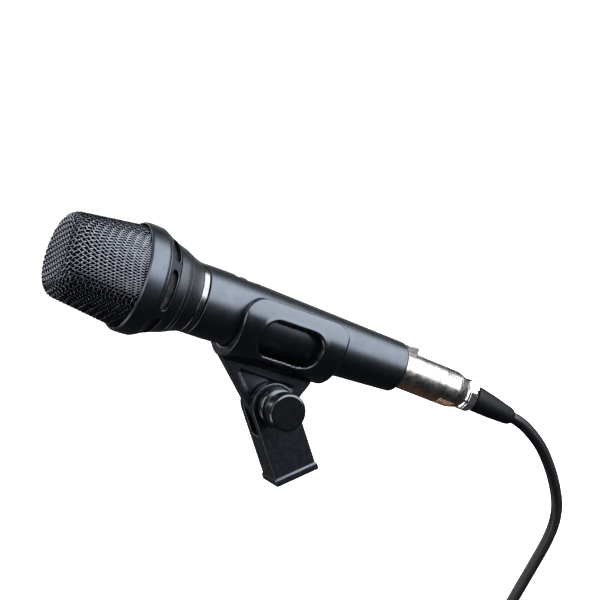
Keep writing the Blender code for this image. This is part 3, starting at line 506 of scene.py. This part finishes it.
def coil_turns():
    """Twelve turns' cells: down a row, across, up the next, each change made over part of one turn."""
    cells = []
    for row in range(4):
        layers = (2, 1, 0) if row % 2 == 0 else (0, 1, 2)
        for layer in layers:
            cells.append(((2 * row - 3) * CORD_R, COIL_MEAN_R + (layer - 1) * 2 * CORD_R))
    points = []
    for degrees in range(30, 90 + 11 * 360 + 1, 12):
        turn = (degrees - 100) / 360
        cell = max(0, int(turn)) if turn >= 0 else 0
        part = min(1.0, (turn - cell) / (150 / 360)) if turn >= 0 else 0.0
        ease = 0.5 - 0.5 * cos(pi * part)
        now = cells[cell]
        after = cells[min(cell + 1, 11)]
        x = now[0] + (after[0] - now[0]) * ease
        r = now[1] + (after[1] - now[1]) * ease
        angle = radians(degrees)
        points.append(COIL_CENTRE + Vector((x, r * sin(angle), r * cos(angle))))
    return points


def make_lead():
    mouth = FAR_MOUTH.copy()
    last = COIL_CENTRE + Vector((3 * CORD_R, COIL_MEAN_R + 2 * CORD_R, 0.0))
    points = hanging_route() + coil_turns()
    for part in (0.35, 0.7, 1.0):
        points.append(last.lerp(mouth, part))
    points.append(mouth + Vector((0.0, 0.0, -0.0060)))
    curve = bpy.data.curves.new("lead", "CURVE")
    curve.dimensions = "3D"
    curve.bevel_depth = CORD_R
    curve.bevel_resolution = 5
    curve.resolution_u = 4
    curve.use_fill_caps = True
    spline = curve.splines.new("BEZIER")
    spline.bezier_points.add(len(points) - 1)
    for target, point in zip(spline.bezier_points, points):
        target.co = point
        target.handle_left_type = "AUTO"
        target.handle_right_type = "AUTO"
    lead = bpy.data.objects.new("lead", curve)
    bpy.context.scene.collection.objects.link(lead)
    adopt(lead, "cord", SHEATH)
    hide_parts("cord_coil")
    length = sum((b - a).length for a, b in zip(points, points[1:]))
    return lead, length


def make_tie():
    deep = 3 * CORD_R + GAP
    wide = 4 * CORD_R + GAP
    lean = radians(30)
    centre = COIL_CENTRE + Vector((0.0, -COIL_MEAN_R * sin(lean), COIL_MEAN_R * cos(lean)))
    turn = Matrix.Translation(centre) @ Matrix.Rotation(lean, 4, "X")
    outer = rounded([(-wide - 0.001, -deep - 0.001, 0.003), (wide + 0.001, -deep - 0.001, 0.003),
                     (wide + 0.001, deep + 0.001, 0.003), (-wide - 0.001, deep + 0.001, 0.003)])
    inner = rounded([(-wide, -deep, 0.0022), (wide, -deep, 0.0022), (wide, deep, 0.0022),
                     (-wide, deep, 0.0022)])
    tie = piece("tie_strap", slab(outer, -0.0060, 0.0060), turn, "cord_tie", STRAP)
    carve(tie, [(slab(inner, -0.007, 0.007), turn)])
    mould(tie, 0.00032, 3)
    return tie


# ---- woven grille ----
BASKET_FACE_R = 0.0140
BASKET_CORNER_R = 0.0066
BASKET_END = 0.0375
BASKET_END_R = 0.0245
WIRE_R = 0.00028
WIRE_WAVE = 0.00029
PITCH = 0.00205


def basket_meridian():
    """Stations and radii along the basket from its centre to past its rim, with their lengths."""
    angles = np.radians(np.linspace(0.0, 82.8, 25))
    s = BASKET_CORNER_R - BASKET_CORNER_R * np.cos(angles)
    r = BASKET_FACE_R + BASKET_CORNER_R * np.sin(angles)
    s = np.concatenate([[0.0], s, [BASKET_END]])
    r = np.concatenate([[0.0], r, [BASKET_END_R]])
    run = np.array([s[-1] - s[-2], r[-1] - r[-2]])
    run *= 0.006 / np.hypot(*run)
    s = np.append(s, s[-1] + run[0])
    r = np.append(r, r[-1] + run[1])
    return s, r, np.concatenate([[0.0], np.cumsum(np.hypot(np.diff(s), np.diff(r)))])


MERIDIAN = basket_meridian()


def on_basket(length, azimuth, inset=0.0):
    """Points of the basket's surface, moved inwards, and its outward normals, as station and two radii."""
    s, r, along = MERIDIAN
    step = 0.0002
    ahead = length + step
    behind = np.maximum(length - step, 0.0)
    slope_s = np.interp(ahead, along, s) - np.interp(behind, along, s)
    slope_r = np.interp(ahead, along, r) - np.interp(behind, along, r)
    size = np.hypot(slope_s, slope_r)
    station = np.interp(length, along, s)
    radius = np.interp(length, along, r)
    out_s = -slope_r / size
    out_r = slope_s / size
    station = station - inset * out_s
    radius = radius - inset * out_r
    c = np.cos(azimuth)
    t = np.sin(azimuth)
    return np.stack([radius * c, radius * t, station], -1), np.stack([out_r * c, out_r * t, out_s], -1)


def relax_net(half=30, rounds=600):
    """A square woven net drawn over the basket: threads keep their pitch and stay as straight as they can."""
    index = np.arange(-half, half + 1)
    column, row = np.meshgrid(index, index, indexing="ij")
    rho = np.hypot(column, row) * PITCH
    azimuth = np.arctan2(row, column).astype(float)
    bias = np.sin(2 * azimuth) ** 2
    keep = rho < 0.0585 - 0.0095 * bias
    length = rho * (1 + 0.17 * bias * np.clip((rho - 0.017) / 0.03, 0, 1))
    number = -np.ones(keep.shape, int)
    number[keep] = np.arange(keep.sum())
    size = keep.shape[0]

    def pairs(right, up):
        first = number[:size - right, max(0, -up):size - max(0, up)]
        second = number[right:, max(0, up):size + min(0, up)]
        both = (first >= 0) & (second >= 0)
        return first[both], second[both]

    def threes(right, up):
        a = number[:size - 2 * right, :size - 2 * up]
        m = number[right:size - right, up:size - up]
        b = number[2 * right:, 2 * up:]
        all_in = (a >= 0) & (m >= 0) & (b >= 0)
        return a[all_in], m[all_in], b[all_in]

    springs = ((pairs(1, 0), PITCH, False, 1.0), (pairs(0, 1), PITCH, False, 1.0),
               (pairs(1, 1), 0.6 * PITCH, True, 0.6), (pairs(1, -1), 0.6 * PITCH, True, 0.6))
    rods = (threes(1, 0), threes(0, 1))
    length = length[keep]
    azimuth = azimuth[keep]
    fixed = rho[keep] < WELD
    for _ in range(rounds):
        p, out = on_basket(length, azimuth)
        pull = np.zeros_like(p)
        load = np.zeros(len(length))
        for (a, b), rest, only_short, stiff in springs:
            v = p[b] - p[a]
            far = np.linalg.norm(v, axis=1)
            miss = far - rest
            if only_short:
                miss = np.minimum(miss, 0)
            move = (stiff * 0.5 * miss / far)[:, None] * v
            np.add.at(pull, a, move)
            np.add.at(pull, b, -move)
            active = np.where(only_short & (miss >= 0), 0.0, stiff)
            np.add.at(load, a, active)
            np.add.at(load, b, active)
        for a, m, b in rods:
            move = 0.3 * (0.5 * (p[a] + p[b]) - p[m])
            np.add.at(pull, m, move)
            np.add.at(pull, a, -0.5 * move)
            np.add.at(pull, b, -0.5 * move)
            np.add.at(load, m, 0.3)
            np.add.at(load, a, 0.15)
            np.add.at(load, b, 0.15)
        pull *= (1.4 / np.maximum(load, 1))[:, None]
        c = np.cos(azimuth)
        t = np.sin(azimuth)
        out_r = out[:, 0] * c + out[:, 1] * t
        along = -(pull[:, 0] * c + pull[:, 1] * t) * out[:, 2] + pull[:, 2] * out_r
        around = (-pull[:, 0] * t + pull[:, 1] * c) / np.maximum(np.hypot(p[:, 0], p[:, 1]), 1e-4)
        along[fixed] = 0
        around[fixed] = 0
        length = np.clip(length + along, 0, MERIDIAN[2][-1])
        azimuth = azimuth + around
    grid_length = np.full(keep.shape, np.nan)
    grid_azimuth = np.full(keep.shape, np.nan)
    grid_length[keep] = length
    grid_azimuth[keep] = azimuth
    return grid_length, grid_azimuth


def thread_points(nodes, normals, steps):
    """A curve through the crossings of one thread, with the basket's normals along it."""
    p = np.vstack([2 * nodes[0] - nodes[1], nodes, 2 * nodes[-1] - nodes[-2]])
    line = []
    outs = []
    for k in range(len(nodes) - 1):
        a, b, c, d = p[k:k + 4]
        for step in range(steps):
            t = step / steps
            line.append(0.5 * (2 * b + (c - a) * t + (2 * a - 5 * b + 4 * c - d) * t ** 2
                               + (3 * b - a - 3 * c + d) * t ** 3))
            outs.append(normals[k] * (1 - t) + normals[k + 1] * t)
    line.append(nodes[-1])
    outs.append(normals[-1])
    return np.array(line), np.array(outs)


def add_tube(verts, faces, line, outs, radius, sides):
    tangent = np.gradient(line, axis=0)
    tangent /= np.linalg.norm(tangent, axis=1)[:, None]
    side = np.cross(tangent, outs)
    side /= np.linalg.norm(side, axis=1)[:, None]
    lift = np.cross(side, tangent)
    start = sum(len(v) for v in verts)
    ring = 2 * pi * np.arange(sides) / sides
    block_of = (line[:, None] + radius * (np.cos(ring)[None, :, None] * lift[:, None]
                                          + np.sin(ring)[None, :, None] * side[:, None]))
    verts.append(block_of.reshape(-1, 3))
    count = len(line)
    for k in range(count - 1):
        low = start + k * sides
        for m in range(sides):
            after = (m + 1) % sides
            faces.append((low + m, low + after, low + sides + after, low + sides + m))
    faces.append(tuple(start + m for m in range(sides))[::-1])
    faces.append(tuple(start + (count - 1) * sides + m for m in range(sides)))


def make_grille():
    lengths, azimuths = relax_net()
    turned = azimuths - radians(25)
    over = WIRE_R + WIRE_WAVE + 0.00003
    size = lengths.shape[0]
    verts = []
    faces = []
    steps = 3
    for direction in (0, 1):
        for line_index in range(size):
            line = (slice(None), line_index) if direction == 0 else (line_index, slice(None))
            length = lengths[line]
            azimuth = turned[line]
            there = np.flatnonzero(np.isfinite(length))
            if len(there) < 3:
                continue
            sign = np.where((there + line_index + direction) % 2 == 0, 1.0, -1.0)
            middle, out = on_basket(length[there], azimuth[there], over)
            rail, outs = thread_points(middle + out * (WIRE_WAVE * sign)[:, None], out, steps)
            inside = rail[:, 2] < BASKET_END - 0.0004
            edges = np.flatnonzero(np.diff(np.concatenate([[0], inside.astype(int), [0]])))
            for first, last in zip(edges[::2], edges[1::2]):
                if last - first >= 4:
                    add_tube(verts, faces, rail[first:last], outs[first:last], WIRE_R, 6)
    table = np.vstack(verts)
    # (across, towards the top, station) to the microphone's own x up, y across and z ahead
    local = np.stack([table[:, 1], -table[:, 0], -table[:, 2]], -1)
    place = np.array(MIC)
    points = local @ place[:3, :3].T + place[:3, 3]
    mesh = bpy.data.meshes.new("grille_net")
    mesh.from_pydata(points.tolist(), [], faces)
    mesh.update()
    net = bpy.data.objects.new("grille_net", mesh)
    bpy.context.scene.collection.objects.link(net)
    adopt(net, "grille_basket", WIRE)
    smooth(net, 60.0)


# ---- head, neck and handle ----
def turned_piece(name, outline, matrix, stands_for, look, sides=112, edge=0.0002, about="Z", shape=None):
    return piece(name, lathe(soften(outline, edge), sides, about, shape), matrix, stands_for, look)


def make_head():
    seat = BASKET_END_R + GAP
    collar = [(0.0355, seat), (0.0355, 0.0252), (0.0363, 0.0257), (0.0378, 0.02593), (0.0408, 0.02593),
              (0.0440, 0.0257), (0.0450, 0.0253), (0.0450, 0.0232), (BASKET_END + GAP, 0.0232),
              (BASKET_END + GAP, seat)]
    even_normals(turned_piece("collar", collar, MIC, "head_collar", PAINT, 144, 0.0003))
    cone = [(0.0453, 0.0251), (0.0522, 0.0219), (0.0522, 0.0198), (0.0453, 0.0230)]
    ring = turned_piece("vents", cone, MIC, "vent_ring", PAINT, 144, 0.0002)
    carve(ring, [(vent_tool(-pi / 2 + k * pi / 3), MIC) for k in range(6)])
    mould(ring, 0.00022, 3)


def vent_tool(middle):
    """One vent's cutter: a wedge whose mouth opens a little towards the outside."""
    bm = bmesh.new()
    half = radians(24)
    steps = 14
    middle_station = 0.0493
    slot = 0.0023
    end_part = 0.82
    rings = []
    for step in range(steps + 1):
        part = 2 * step / steps - 1
        angle = middle + half * part
        pinch = 0.0012 * max(0.0, abs(part) - end_part) / (1 - end_part)
        corners = []
        for radius, station in ((0.0170, 0.0474), (0.0300, 0.0470), (0.0300, 0.0516), (0.0170, 0.0512)):
            station = middle_station + (station - middle_station) * (1 - pinch / slot)
            corners.append(bm.verts.new((radius * cos(angle), radius * sin(angle), -station)))
        rings.append(corners)
    for first, second in zip(rings, rings[1:]):
        for index in range(4):
            after = (index + 1) % 4
            bm.faces.new((first[index], first[after], second[after], second[index]))
    bm.faces.new(rings[0])
    bm.faces.new(rings[-1])
    return bm


def make_neck():
    groove = 0.00035
    neck = [(0.0525, 0.0217), (0.0566, 0.0205), (0.0568, 0.0205 - groove), (0.0572, 0.0204 - groove),
            (0.0574, 0.0203), (0.0588, 0.0197), (0.0590, 0.0197 - groove), (0.0594, 0.0195 - groove),
            (0.0596, 0.0194), (0.0628, 0.0180), (0.0650, 0.01725), (0.0660, 0.0170), (0.0660, 0.0157),
            (0.0695, 0.0154), (0.0695, 0.0141), (0.0760, 0.0141), (0.0760, 0.0124), (0.0660, 0.0124),
            (0.0525, 0.0194)]
    even_normals(turned_piece("neck", neck, MIC, "neck_cone", SHADED_NECK_PAINT, 144, 0.00012))
    band = [(0.0663, 0.0160), (0.0663, 0.0166), (0.0665, 0.0168), (0.0690, 0.0168), (0.0692, 0.0166),
            (0.0692, 0.0160)]
    even_normals(turned_piece("band", band, MIC, "id_ring", SILVER, 144, 0.00015))


def make_handle():
    body = [(0.0698, 0.0164), (0.0701, 0.0168), (HANDLE_TAPER, HANDLE_R), (0.1120, handle_radius(0.1120)),
            (0.1450, handle_radius(0.1450)), (0.1796, handle_radius(0.1796)), (HANDLE_TAIL, TAIL_R - 0.0006),
            (HANDLE_TAIL, 0.0093), (0.1800, 0.0088), (0.1665, 0.0088), (0.1665, 0.0110), (0.1500, 0.0110),
            (0.1120, 0.0132), (0.0698, 0.0144)]
    handle = turned_piece("handle", body, MIC, "handle_body", PAINT, 144, 0.0004)
    pocket = rounded([(-0.0040, -0.0975, 0.0012), (0.0040, -0.0975, 0.0012), (0.0040, -0.0845, 0.0012),
                      (-0.0040, -0.0845, 0.0012)])
    turn = MIC @ Matrix.Rotation(pi / 2, 4, "Z")
    carve(handle, [(slab(pocket, -0.0200, -0.0152), turn),
                   (block((0.0100, -0.0022, -0.0955), (0.0160, 0.0022, -0.0865)), MIC),
                   (lathe([(-0.0145, 0.0), (-0.0145, 0.0014), (-0.0080, 0.0014), (-0.0080, 0.0)], 32),
                    MIC @ Matrix.Translation((0, 0, -0.1630)) @ Matrix.Rotation(-pi / 2, 4, "Y"))])
    smooth(handle, 32.0)
    even_normals(handle)
    plate = rounded([(-0.0037, -0.0972, 0.0010), (0.0037, -0.0972, 0.0010), (0.0037, -0.0848, 0.0010),
                     (-0.0037, -0.0848, 0.0010)])
    cover = piece("switch_cover", slab(plate, -0.0159, -0.0155), turn, "switch_plate", DARK)
    carve(cover, [(block((0.0150, -0.0016, -0.0946), (0.0170, 0.0016, -0.0874)), MIC)])
    smooth(cover, 32.0)
    front = -0.0877
    teeth = [(0.0125, front - 0.0036), (0.0125, front)]
    for k in range(5):
        teeth.append((0.0166 - 0.0001 * abs(k - 2), front - 0.0004 - 0.0007 * k + 0.00022))
        teeth.append((0.0163 - 0.0003 * (2 - abs(k - 2)), front - 0.0004 - 0.0007 * k - 0.00013))
    nub = piece("switch_nub", slab(teeth, -0.0012, 0.0012), MIC, "switch_slider", GREY)
    mould(nub, 0.00009, 2)


# ---- connectors ----
SHELL_OUTSIDE_R = 0.0076
NUT_LENGTH = 0.0065


def ribbed(first, last):
    """Radius rule of a shell with two ribbed grip patches, above and below."""
    ribs = 7
    groove = 0.00042
    patch_edge = 0.60
    patch_fade = 0.06

    def shape(along, radius, angle):
        place = (along - first) / (last - first)
        facing = abs(cos(angle))
        if radius < SHELL_OUTSIDE_R or not 0.0 < place < 1.0 or facing < patch_edge:
            return radius
        fade = min(1.0, (facing - patch_edge) / patch_fade)
        wave = 0.5 - 0.5 * cos(2 * pi * place * ribs)
        return radius - groove * fade * wave
    return shape


def fine_outline(outline, first, last, steps):
    """The outline with its outer line between two stations divided into short steps."""
    result = []
    for index, point in enumerate(outline):
        result.append(point)
        after = outline[(index + 1) % len(outline)]
        outside = min(point[1], after[1]) > SHELL_OUTSIDE_R - 0.0001
        if outside and min(point[0], after[0]) < last and max(point[0], after[0]) > first:
            for step in range(1, steps):
                t = step / steps
                result.append((point[0] + (after[0] - point[0]) * t, point[1] + (after[1] - point[1]) * t))
    return result


def make_plug():
    bore = 0.0070
    shell = [(-0.0128, bore), (-0.0128, 0.0079), (0.0008, 0.0079), (0.0008, 0.0092), (0.0011, 0.0094),
             (0.0240, 0.0094), (0.0331, 0.0093), (0.0352, 0.0088), (0.0371, 0.0082), (0.0386, 0.0077),
             (0.0386, bore)]
    line = fine_outline(soften(shell, 0.0002), 0.0242, 0.0345, 60)
    made = piece("plug_sleeve", lathe(line, 128, shape=ribbed(0.0250, 0.0345)), PLUG, "plug_shell", NICKEL)
    wide = 0.0022 + GAP
    carve(made, [(block((0.0060, -wide, -0.0120), (0.0140, wide, -0.0012)), PLUG)])
    smooth(made, 40.0)
    tab = rounded([(0.0083, -0.0016, 0.0003), (0.0121, -0.0016, 0.0006), (0.0116, -0.0042, 0.0100),
                   (0.0129, -0.0072, 0.0005), (0.0122, -0.0078, 0.0004), (0.0097, -0.0078, 0.0006),
                   (0.0097, -0.0114, 0.0003), (0.0083, -0.0114, 0.0003)], 4)
    latch = piece("latch_tab", slab(tab, -0.0022, 0.0022), PLUG, "plug_latch", FAR_NICKEL)
    mould(latch, 0.00014, 3)
    make_nut("plug_nut", 0.0389, 0.0456, PLUG, "plug_ring")
    make_boot("boot", BOOT, "plug_boot", 1)


def make_nut(name, front, rear, matrix, stands_for):
    flats = 8
    outline = [(front, 0.0052), (front, 0.0072), (front + 0.0006, 0.0079), (front + 0.0018, 0.0083),
               (rear - 0.0020, 0.0083), (rear - 0.0007, 0.0078), (rear, 0.0069), (rear, 0.0052)]

    def shape(along, radius, angle):
        if radius < 0.0062:
            return radius
        part = (angle + pi / 8) % (2 * pi / flats) - pi / flats
        flat = 0.0079 / cos(part)
        middle = front + 0.0018 <= along <= rear - 0.0020
        return min(radius, flat) if middle else min(radius, flat * 0.985)
    return piece(name, lathe(soften(outline, 0.0003), 160, shape=shape), matrix, stands_for, CHROME, 20.0)


def make_boot(name, matrix, stands_for, sense):
    """Tapered sleeve; sense 1 runs from the wide end to the cord and -1 the other way."""
    half = [(0.0, 0.0063), (0.0030, 0.00645), (0.0120, 0.0058), (0.0215, 0.0047), (0.0228, 0.00455),
            (0.0240, 0.0042), (0.0250, 0.0036)]
    if sense > 0:
        outline = [(0.0, CORD_R + GAP), *half, (BOOT_LENGTH, CORD_R + GAP)]
    else:
        outline = [(0.0, CORD_R + GAP), *[(BOOT_LENGTH - s, r) for s, r in half[::-1]],
                   (BOOT_LENGTH, CORD_R + GAP)]
    made = piece(name, lathe(soften(outline, 0.0006), 96), matrix, stands_for, RUBBER)
    even_normals(made)
    return made


def make_far_end():
    matrix = Matrix.Translation(FAR_MOUTH)
    boot = make_boot("far_sleeve_boot", matrix, "far_boot", -1)
    top = BOOT_LENGTH + GAP
    nut = make_nut("far_nut", top, top + NUT_LENGTH, matrix, "far_ring")
    top += NUT_LENGTH + GAP
    end = top + 0.0440
    bore = 0.0082
    shell = [(top, 0.0060), (top, 0.0077), (top + 0.0055, 0.0094), (end - 0.0003, 0.0094),
             (end, 0.0091), (end, bore), (end - 0.0150, bore), (end - 0.0150, 0.0070), (top + 0.0020, 0.0070)]
    line = fine_outline(soften(shell, 0.0002), top + 0.0060, top + 0.0160, 200)
    sleeve = piece("far_sleeve", lathe(line, 128, shape=ribbed(top + 0.0060, top + 0.0160)), matrix,
                   "far_shell", FAR_NICKEL)
    return [boot, nut, sleeve]


# ---- clip ----
CRADLE_FRONT = 0.0878
CRADLE_REAR = 0.1436
WINDOW_MIDDLE_X = -0.0062
WINDOW_HALF_X = 0.0090
WINDOW_STATION = 0.1156
WINDOW_HALF_Z = 0.0156
WINDOW_R = 0.0070


def cradle_outline():
    front = CRADLE_FRONT
    rear = CRADLE_REAR
    slack = GAP + 0.00005
    inner_front = handle_radius(front + 0.0030) + slack
    inner_rear = handle_radius(rear) + slack
    return [(front, inner_front + 0.0016), (front, 0.0209), (front + 0.0010, 0.0217),
            (rear - 0.0010, 0.0198), (rear, 0.0188), (rear, inner_rear + 0.0004),
            (rear - 0.0010, inner_rear), (front + 0.0030, inner_front)]


def tangent_angle(outside, radius, side):
    """Angle at which a line from an outside (x, z) point touches a circle about the pivot."""
    return atan2(outside[1], outside[0]) + side * acos(radius / Vector(outside).length)


def web_outline():
    root = AXIS_OFFSET - 0.0190
    foot = AXIS_OFFSET - 0.0217 + 0.0004
    front = PIVOT_STATION - 0.0908
    rear = PIVOT_STATION - 0.1385
    first = tangent_angle((foot, front), 0.0098, 1)
    last = tangent_angle((foot, rear), 0.0098, -1) + 2 * pi
    outline = [(root, front), (foot, front)]
    for step in range(29):
        angle = first + (last - first) * step / 28
        outline.append((0.0098 * cos(angle), 0.0098 * sin(angle)))
    return outline + [(foot, rear), (root, rear)]


def window_shape():
    left = WINDOW_MIDDLE_X - WINDOW_HALF_X
    right = WINDOW_MIDDLE_X + WINDOW_HALF_X
    front = WINDOW_HALF_Z - WINDOW_STATION
    rear = -WINDOW_HALF_Z - WINDOW_STATION
    return rounded([(right, front, WINDOW_R), (right, rear, WINDOW_R), (left, rear, WINDOW_R),
                    (left, front, WINDOW_R)])


def make_cradle():
    front = CRADLE_FRONT
    behind = -CRADLE_REAR - 0.001
    cradle = piece("cradle", lathe(cradle_outline(), 144), MIC, "clip_cradle", CLIP_BLACK)
    side = rounded([(-0.0300, -0.0903, 0.0), (-0.0220, -0.0903, 0.0), (-0.0100, -0.0893, 0.0060),
                    (-0.0010, -front - 0.0001, 0.0040), (0.0109, -front - 0.0001, 0.0105),
                    (0.0109, behind, 0.0105), (-0.0300, behind, 0.0)])
    carve(cradle, [(slab(side, -0.030, 0.030), MIC)], "INTERSECT")
    carve(cradle, [(slab(window_shape(), -0.030, 0.030), MIC)])
    carve(cradle, [(slab(web_outline(), -0.0035, 0.0035), CLIP)], "UNION")
    recess = rounded([(0.0112, 0.0225, 0.0012), (0.0000, 0.0108, 0.0012), (0.0070, -0.0045, 0.0012),
                      (0.0112, -0.0118, 0.0012)], 4)
    bore = lathe([(-0.010, 0.0), (-0.010, 0.0028), (0.010, 0.0028), (0.010, 0.0)], 48, "Y")
    room = [(front - 0.002, 0.0), (front - 0.002, handle_radius(front) + GAP),
            (CRADLE_REAR + 0.002, handle_radius(CRADLE_REAR) + GAP), (CRADLE_REAR + 0.002, 0.0)]
    carve(cradle, [(slab(recess, -0.006, -0.0025), CLIP), (slab(recess, 0.0025, 0.006), CLIP), (bore, CLIP),
                   (lathe(room, 144), MIC)])
    mould(cradle, 0.00034, 4)
    raise_window_lip(cradle)


def raise_window_lip(cradle):
    """A low rim round each window whose inner edge rolls over into the opening."""
    roll = 0.0019
    rim = 0.0006
    reach = 0.0034
    skin = 0.0009
    inverse = MIC.inverted()
    for vert in cradle.data.vertices:
        local = inverse @ vert.co
        station = -local.z
        radius = Vector((local.x, local.y)).length
        outer = 0.0217 + (0.0198 - 0.0217) * (station - 0.0888) / (0.1426 - 0.0888)
        if radius < outer - skin or local.x > 0.0100 or abs(local.y) < 0.0050:
            continue
        across = abs(local.x - WINDOW_MIDDLE_X) - WINDOW_HALF_X + WINDOW_R
        along = abs(local.z + WINDOW_STATION) - WINDOW_HALF_Z + WINDOW_R
        away = Vector((max(across, 0.0), max(along, 0.0))).length + min(max(across, along), 0.0) - WINDOW_R
        away = max(away, 0.0)
        if away > reach:
            continue
        lift = rim * (0.5 + 0.5 * cos(pi * away / reach))
        if away < roll:
            lift -= roll - (roll * roll - (roll - away) ** 2) ** 0.5
        share = min(1.0, (radius - outer + skin) / 0.0006)
        scale = 1 + lift * share / radius
        vert.co = MIC @ Vector((local.x * scale, local.y * scale, local.z))
    cradle.data.update()


def make_base():
    half_x = 0.01075
    half_y = 0.0085
    profile = [(-half_x, 0.0), (half_x, 0.0)]
    for step in range(33):
        angle = pi * step / 32
        profile.append((half_x * cos(angle), PIVOT.z + half_x * sin(angle)))
    fork = piece("fork", slab(profile, -half_y, half_y), WORLD, "clip_base", BASE_BLACK)
    step_x = half_x + 0.0006
    step_y = half_y + 0.0006
    carve(fork, [(block((-step_x, -step_y, 0.0), (step_x, step_y, 0.0031)), WORLD)], "UNION")
    slot = 0.0038
    bore = lathe([(-0.02, 0.0), (-0.02, 0.0028), (0.02, 0.0028), (0.02, 0.0)], 48, "Y")
    pocket = lathe([(0.0047, 0.0), (0.0047, 0.0050), (0.0200, 0.0050), (0.0200, 0.0)], 6, "Y")
    well = lathe([(0.001, 0.0), (0.001, 0.0066), (-0.0143, 0.0066), (-0.0143, 0.0)], 64)
    carve(fork, [(block((-0.02, -slot, 0.0250), (0.02, slot, 0.06)), WORLD), (bore, KNOB), (pocket, KNOB),
                 (well, WORLD)])
    mould(fork, 0.00030, 3)
    thread = [(0.0, 0.0050), (0.0, 0.0063), (-0.0140, 0.0063), (-0.0140, 0.0040)]
    turns = 13
    for k in range(turns):
        at = -0.0140 + 0.0134 * (k + 0.5) / turns
        thread.append((at, 0.0046))
        thread.append((-0.0140 + 0.0134 * (k + 1) / turns, 0.0040))
    piece("thread_bush", lathe(thread, 72), WORLD, "thread_insert", BRASS, 30.0)


def make_knob():
    start = -0.0097
    shape = [(start, 0.0028), (start, 0.0070), (start - 0.0010, 0.0070), (start - 0.0014, 0.0088),
             (start - 0.0020, 0.0094), (-0.0145, 0.0094), (-0.0152, 0.0088), (-0.0157, 0.0072),
             (-0.0188, 0.0072), (-0.0193, 0.0082), (-0.0200, 0.0090), (-0.0249, 0.0090),
             (-0.0257, 0.0085), (-0.0260, 0.0078), (-0.0260, 0.0040), (-0.0259, 0.0),
             (-0.0233, 0.0), (-0.0233, 0.0028)]
    knob = turned_piece("knob", shape, KNOB, "clamp_knob", KNOB_BLACK, 112, 0.0004, "Y")
    even_normals(knob)


# ---- studio ----
def make_light(name, middle, azimuth, lean, distance, across, along, radiance, colour=(1.0, 1.0, 1.0)):
    """A soft panel, at an azimuth round the microphone's axis and leaning towards its head."""
    aim = cos(radians(azimuth)) * NEAR + sin(radians(azimuth)) * UP
    aim = cos(radians(lean)) * aim + sin(radians(lean)) * HEAD
    long_way = (HEAD - HEAD.dot(aim) * aim).normalized()
    cross_way = long_way.cross(aim)
    data = bpy.data.lights.new(name, "AREA")
    data.shape = "RECTANGLE"
    data.size = across
    data.size_y = along
    data.energy = radiance * pi * across * along
    data.color = colour
    light = bpy.data.objects.new(name, data)
    bpy.context.scene.collection.objects.link(light)
    turn = Matrix((cross_way, long_way, aim)).transposed().to_4x4()
    light.matrix_world = Matrix.Translation(middle + distance * aim) @ turn
    light.visible_camera = False
    return light


def make_studio(middle):
    make_light("key_panel", middle, 54, -12, 1.0, 1.62, 1.6, 11.0)
    make_light("back_panel", middle, 165, -10, 1.3, 0.9, 1.8, 0.6)
    make_light("head_panel", middle, 5, 58, 1.0, 0.9, 0.7, 7.0)
    make_light("low_panel", middle, -105, 40, 0.9, 0.6, 0.5, 5.0)
    make_light("fill_panel", middle, 150, 48, 1.2, 1.2, 0.8, 7.0)
    world = bpy.data.worlds.new("studio")
    world.use_nodes = True
    background = world.node_tree.nodes["Background"]
    background.inputs["Color"].default_value = (0.92, 0.95, 1.0, 1.0)
    background.inputs["Strength"].default_value = 0.06
    bpy.context.scene.world = world
    bpy.context.scene.view_settings.view_transform = "Standard"
    floor_z = -0.3300
    sweep = [(-floor_z, 0.0), (-floor_z, 5.0), (-floor_z - 0.3, 6.0), (-floor_z - 1.2, 6.8),
             (-floor_z - 3.0, 7.0), (-floor_z - 6.0, 5.5), (-floor_z - 7.5, 2.5), (-floor_z - 8.0, 0.0)]
    bm = lathe(sweep, 96)
    mesh = bpy.data.meshes.new("studio_sweep")
    bm.to_mesh(mesh)
    bm.free()
    mesh.shade_smooth()
    floor = bpy.data.objects.new("studio_sweep", mesh)
    bpy.context.scene.collection.objects.link(floor)
    pale = finish("pale_sweep", (0.80, 0.80, 0.80), (0.84, 0.84, 0.84), 0.9, patch=2.0, fine=60.0, bump=0.02)
    shader = pale.node_tree.nodes["Principled BSDF"]
    shader.inputs["Emission Color"].default_value = (1.0, 1.0, 1.0, 1.0)
    shader.inputs["Emission Strength"].default_value = 1.0
    mesh.materials.append(pale)
    floor.visible_glossy = False
    floor.visible_diffuse = False
    floor.visible_transmission = False
    floor.visible_shadow = False


def main():
    middle = make_camera()
    lead, length = make_lead()
    tie = make_tie()
    far = make_far_end()
    for name, look in KEPT.items():
        kept = frame["nodes"][name]
        kept.data.materials.clear()
        kept.data.materials.append(look)
    make_grille()
    make_head()
    make_neck()
    make_handle()
    make_plug()
    make_cradle()
    make_base()
    make_knob()
    make_studio(middle)


main()
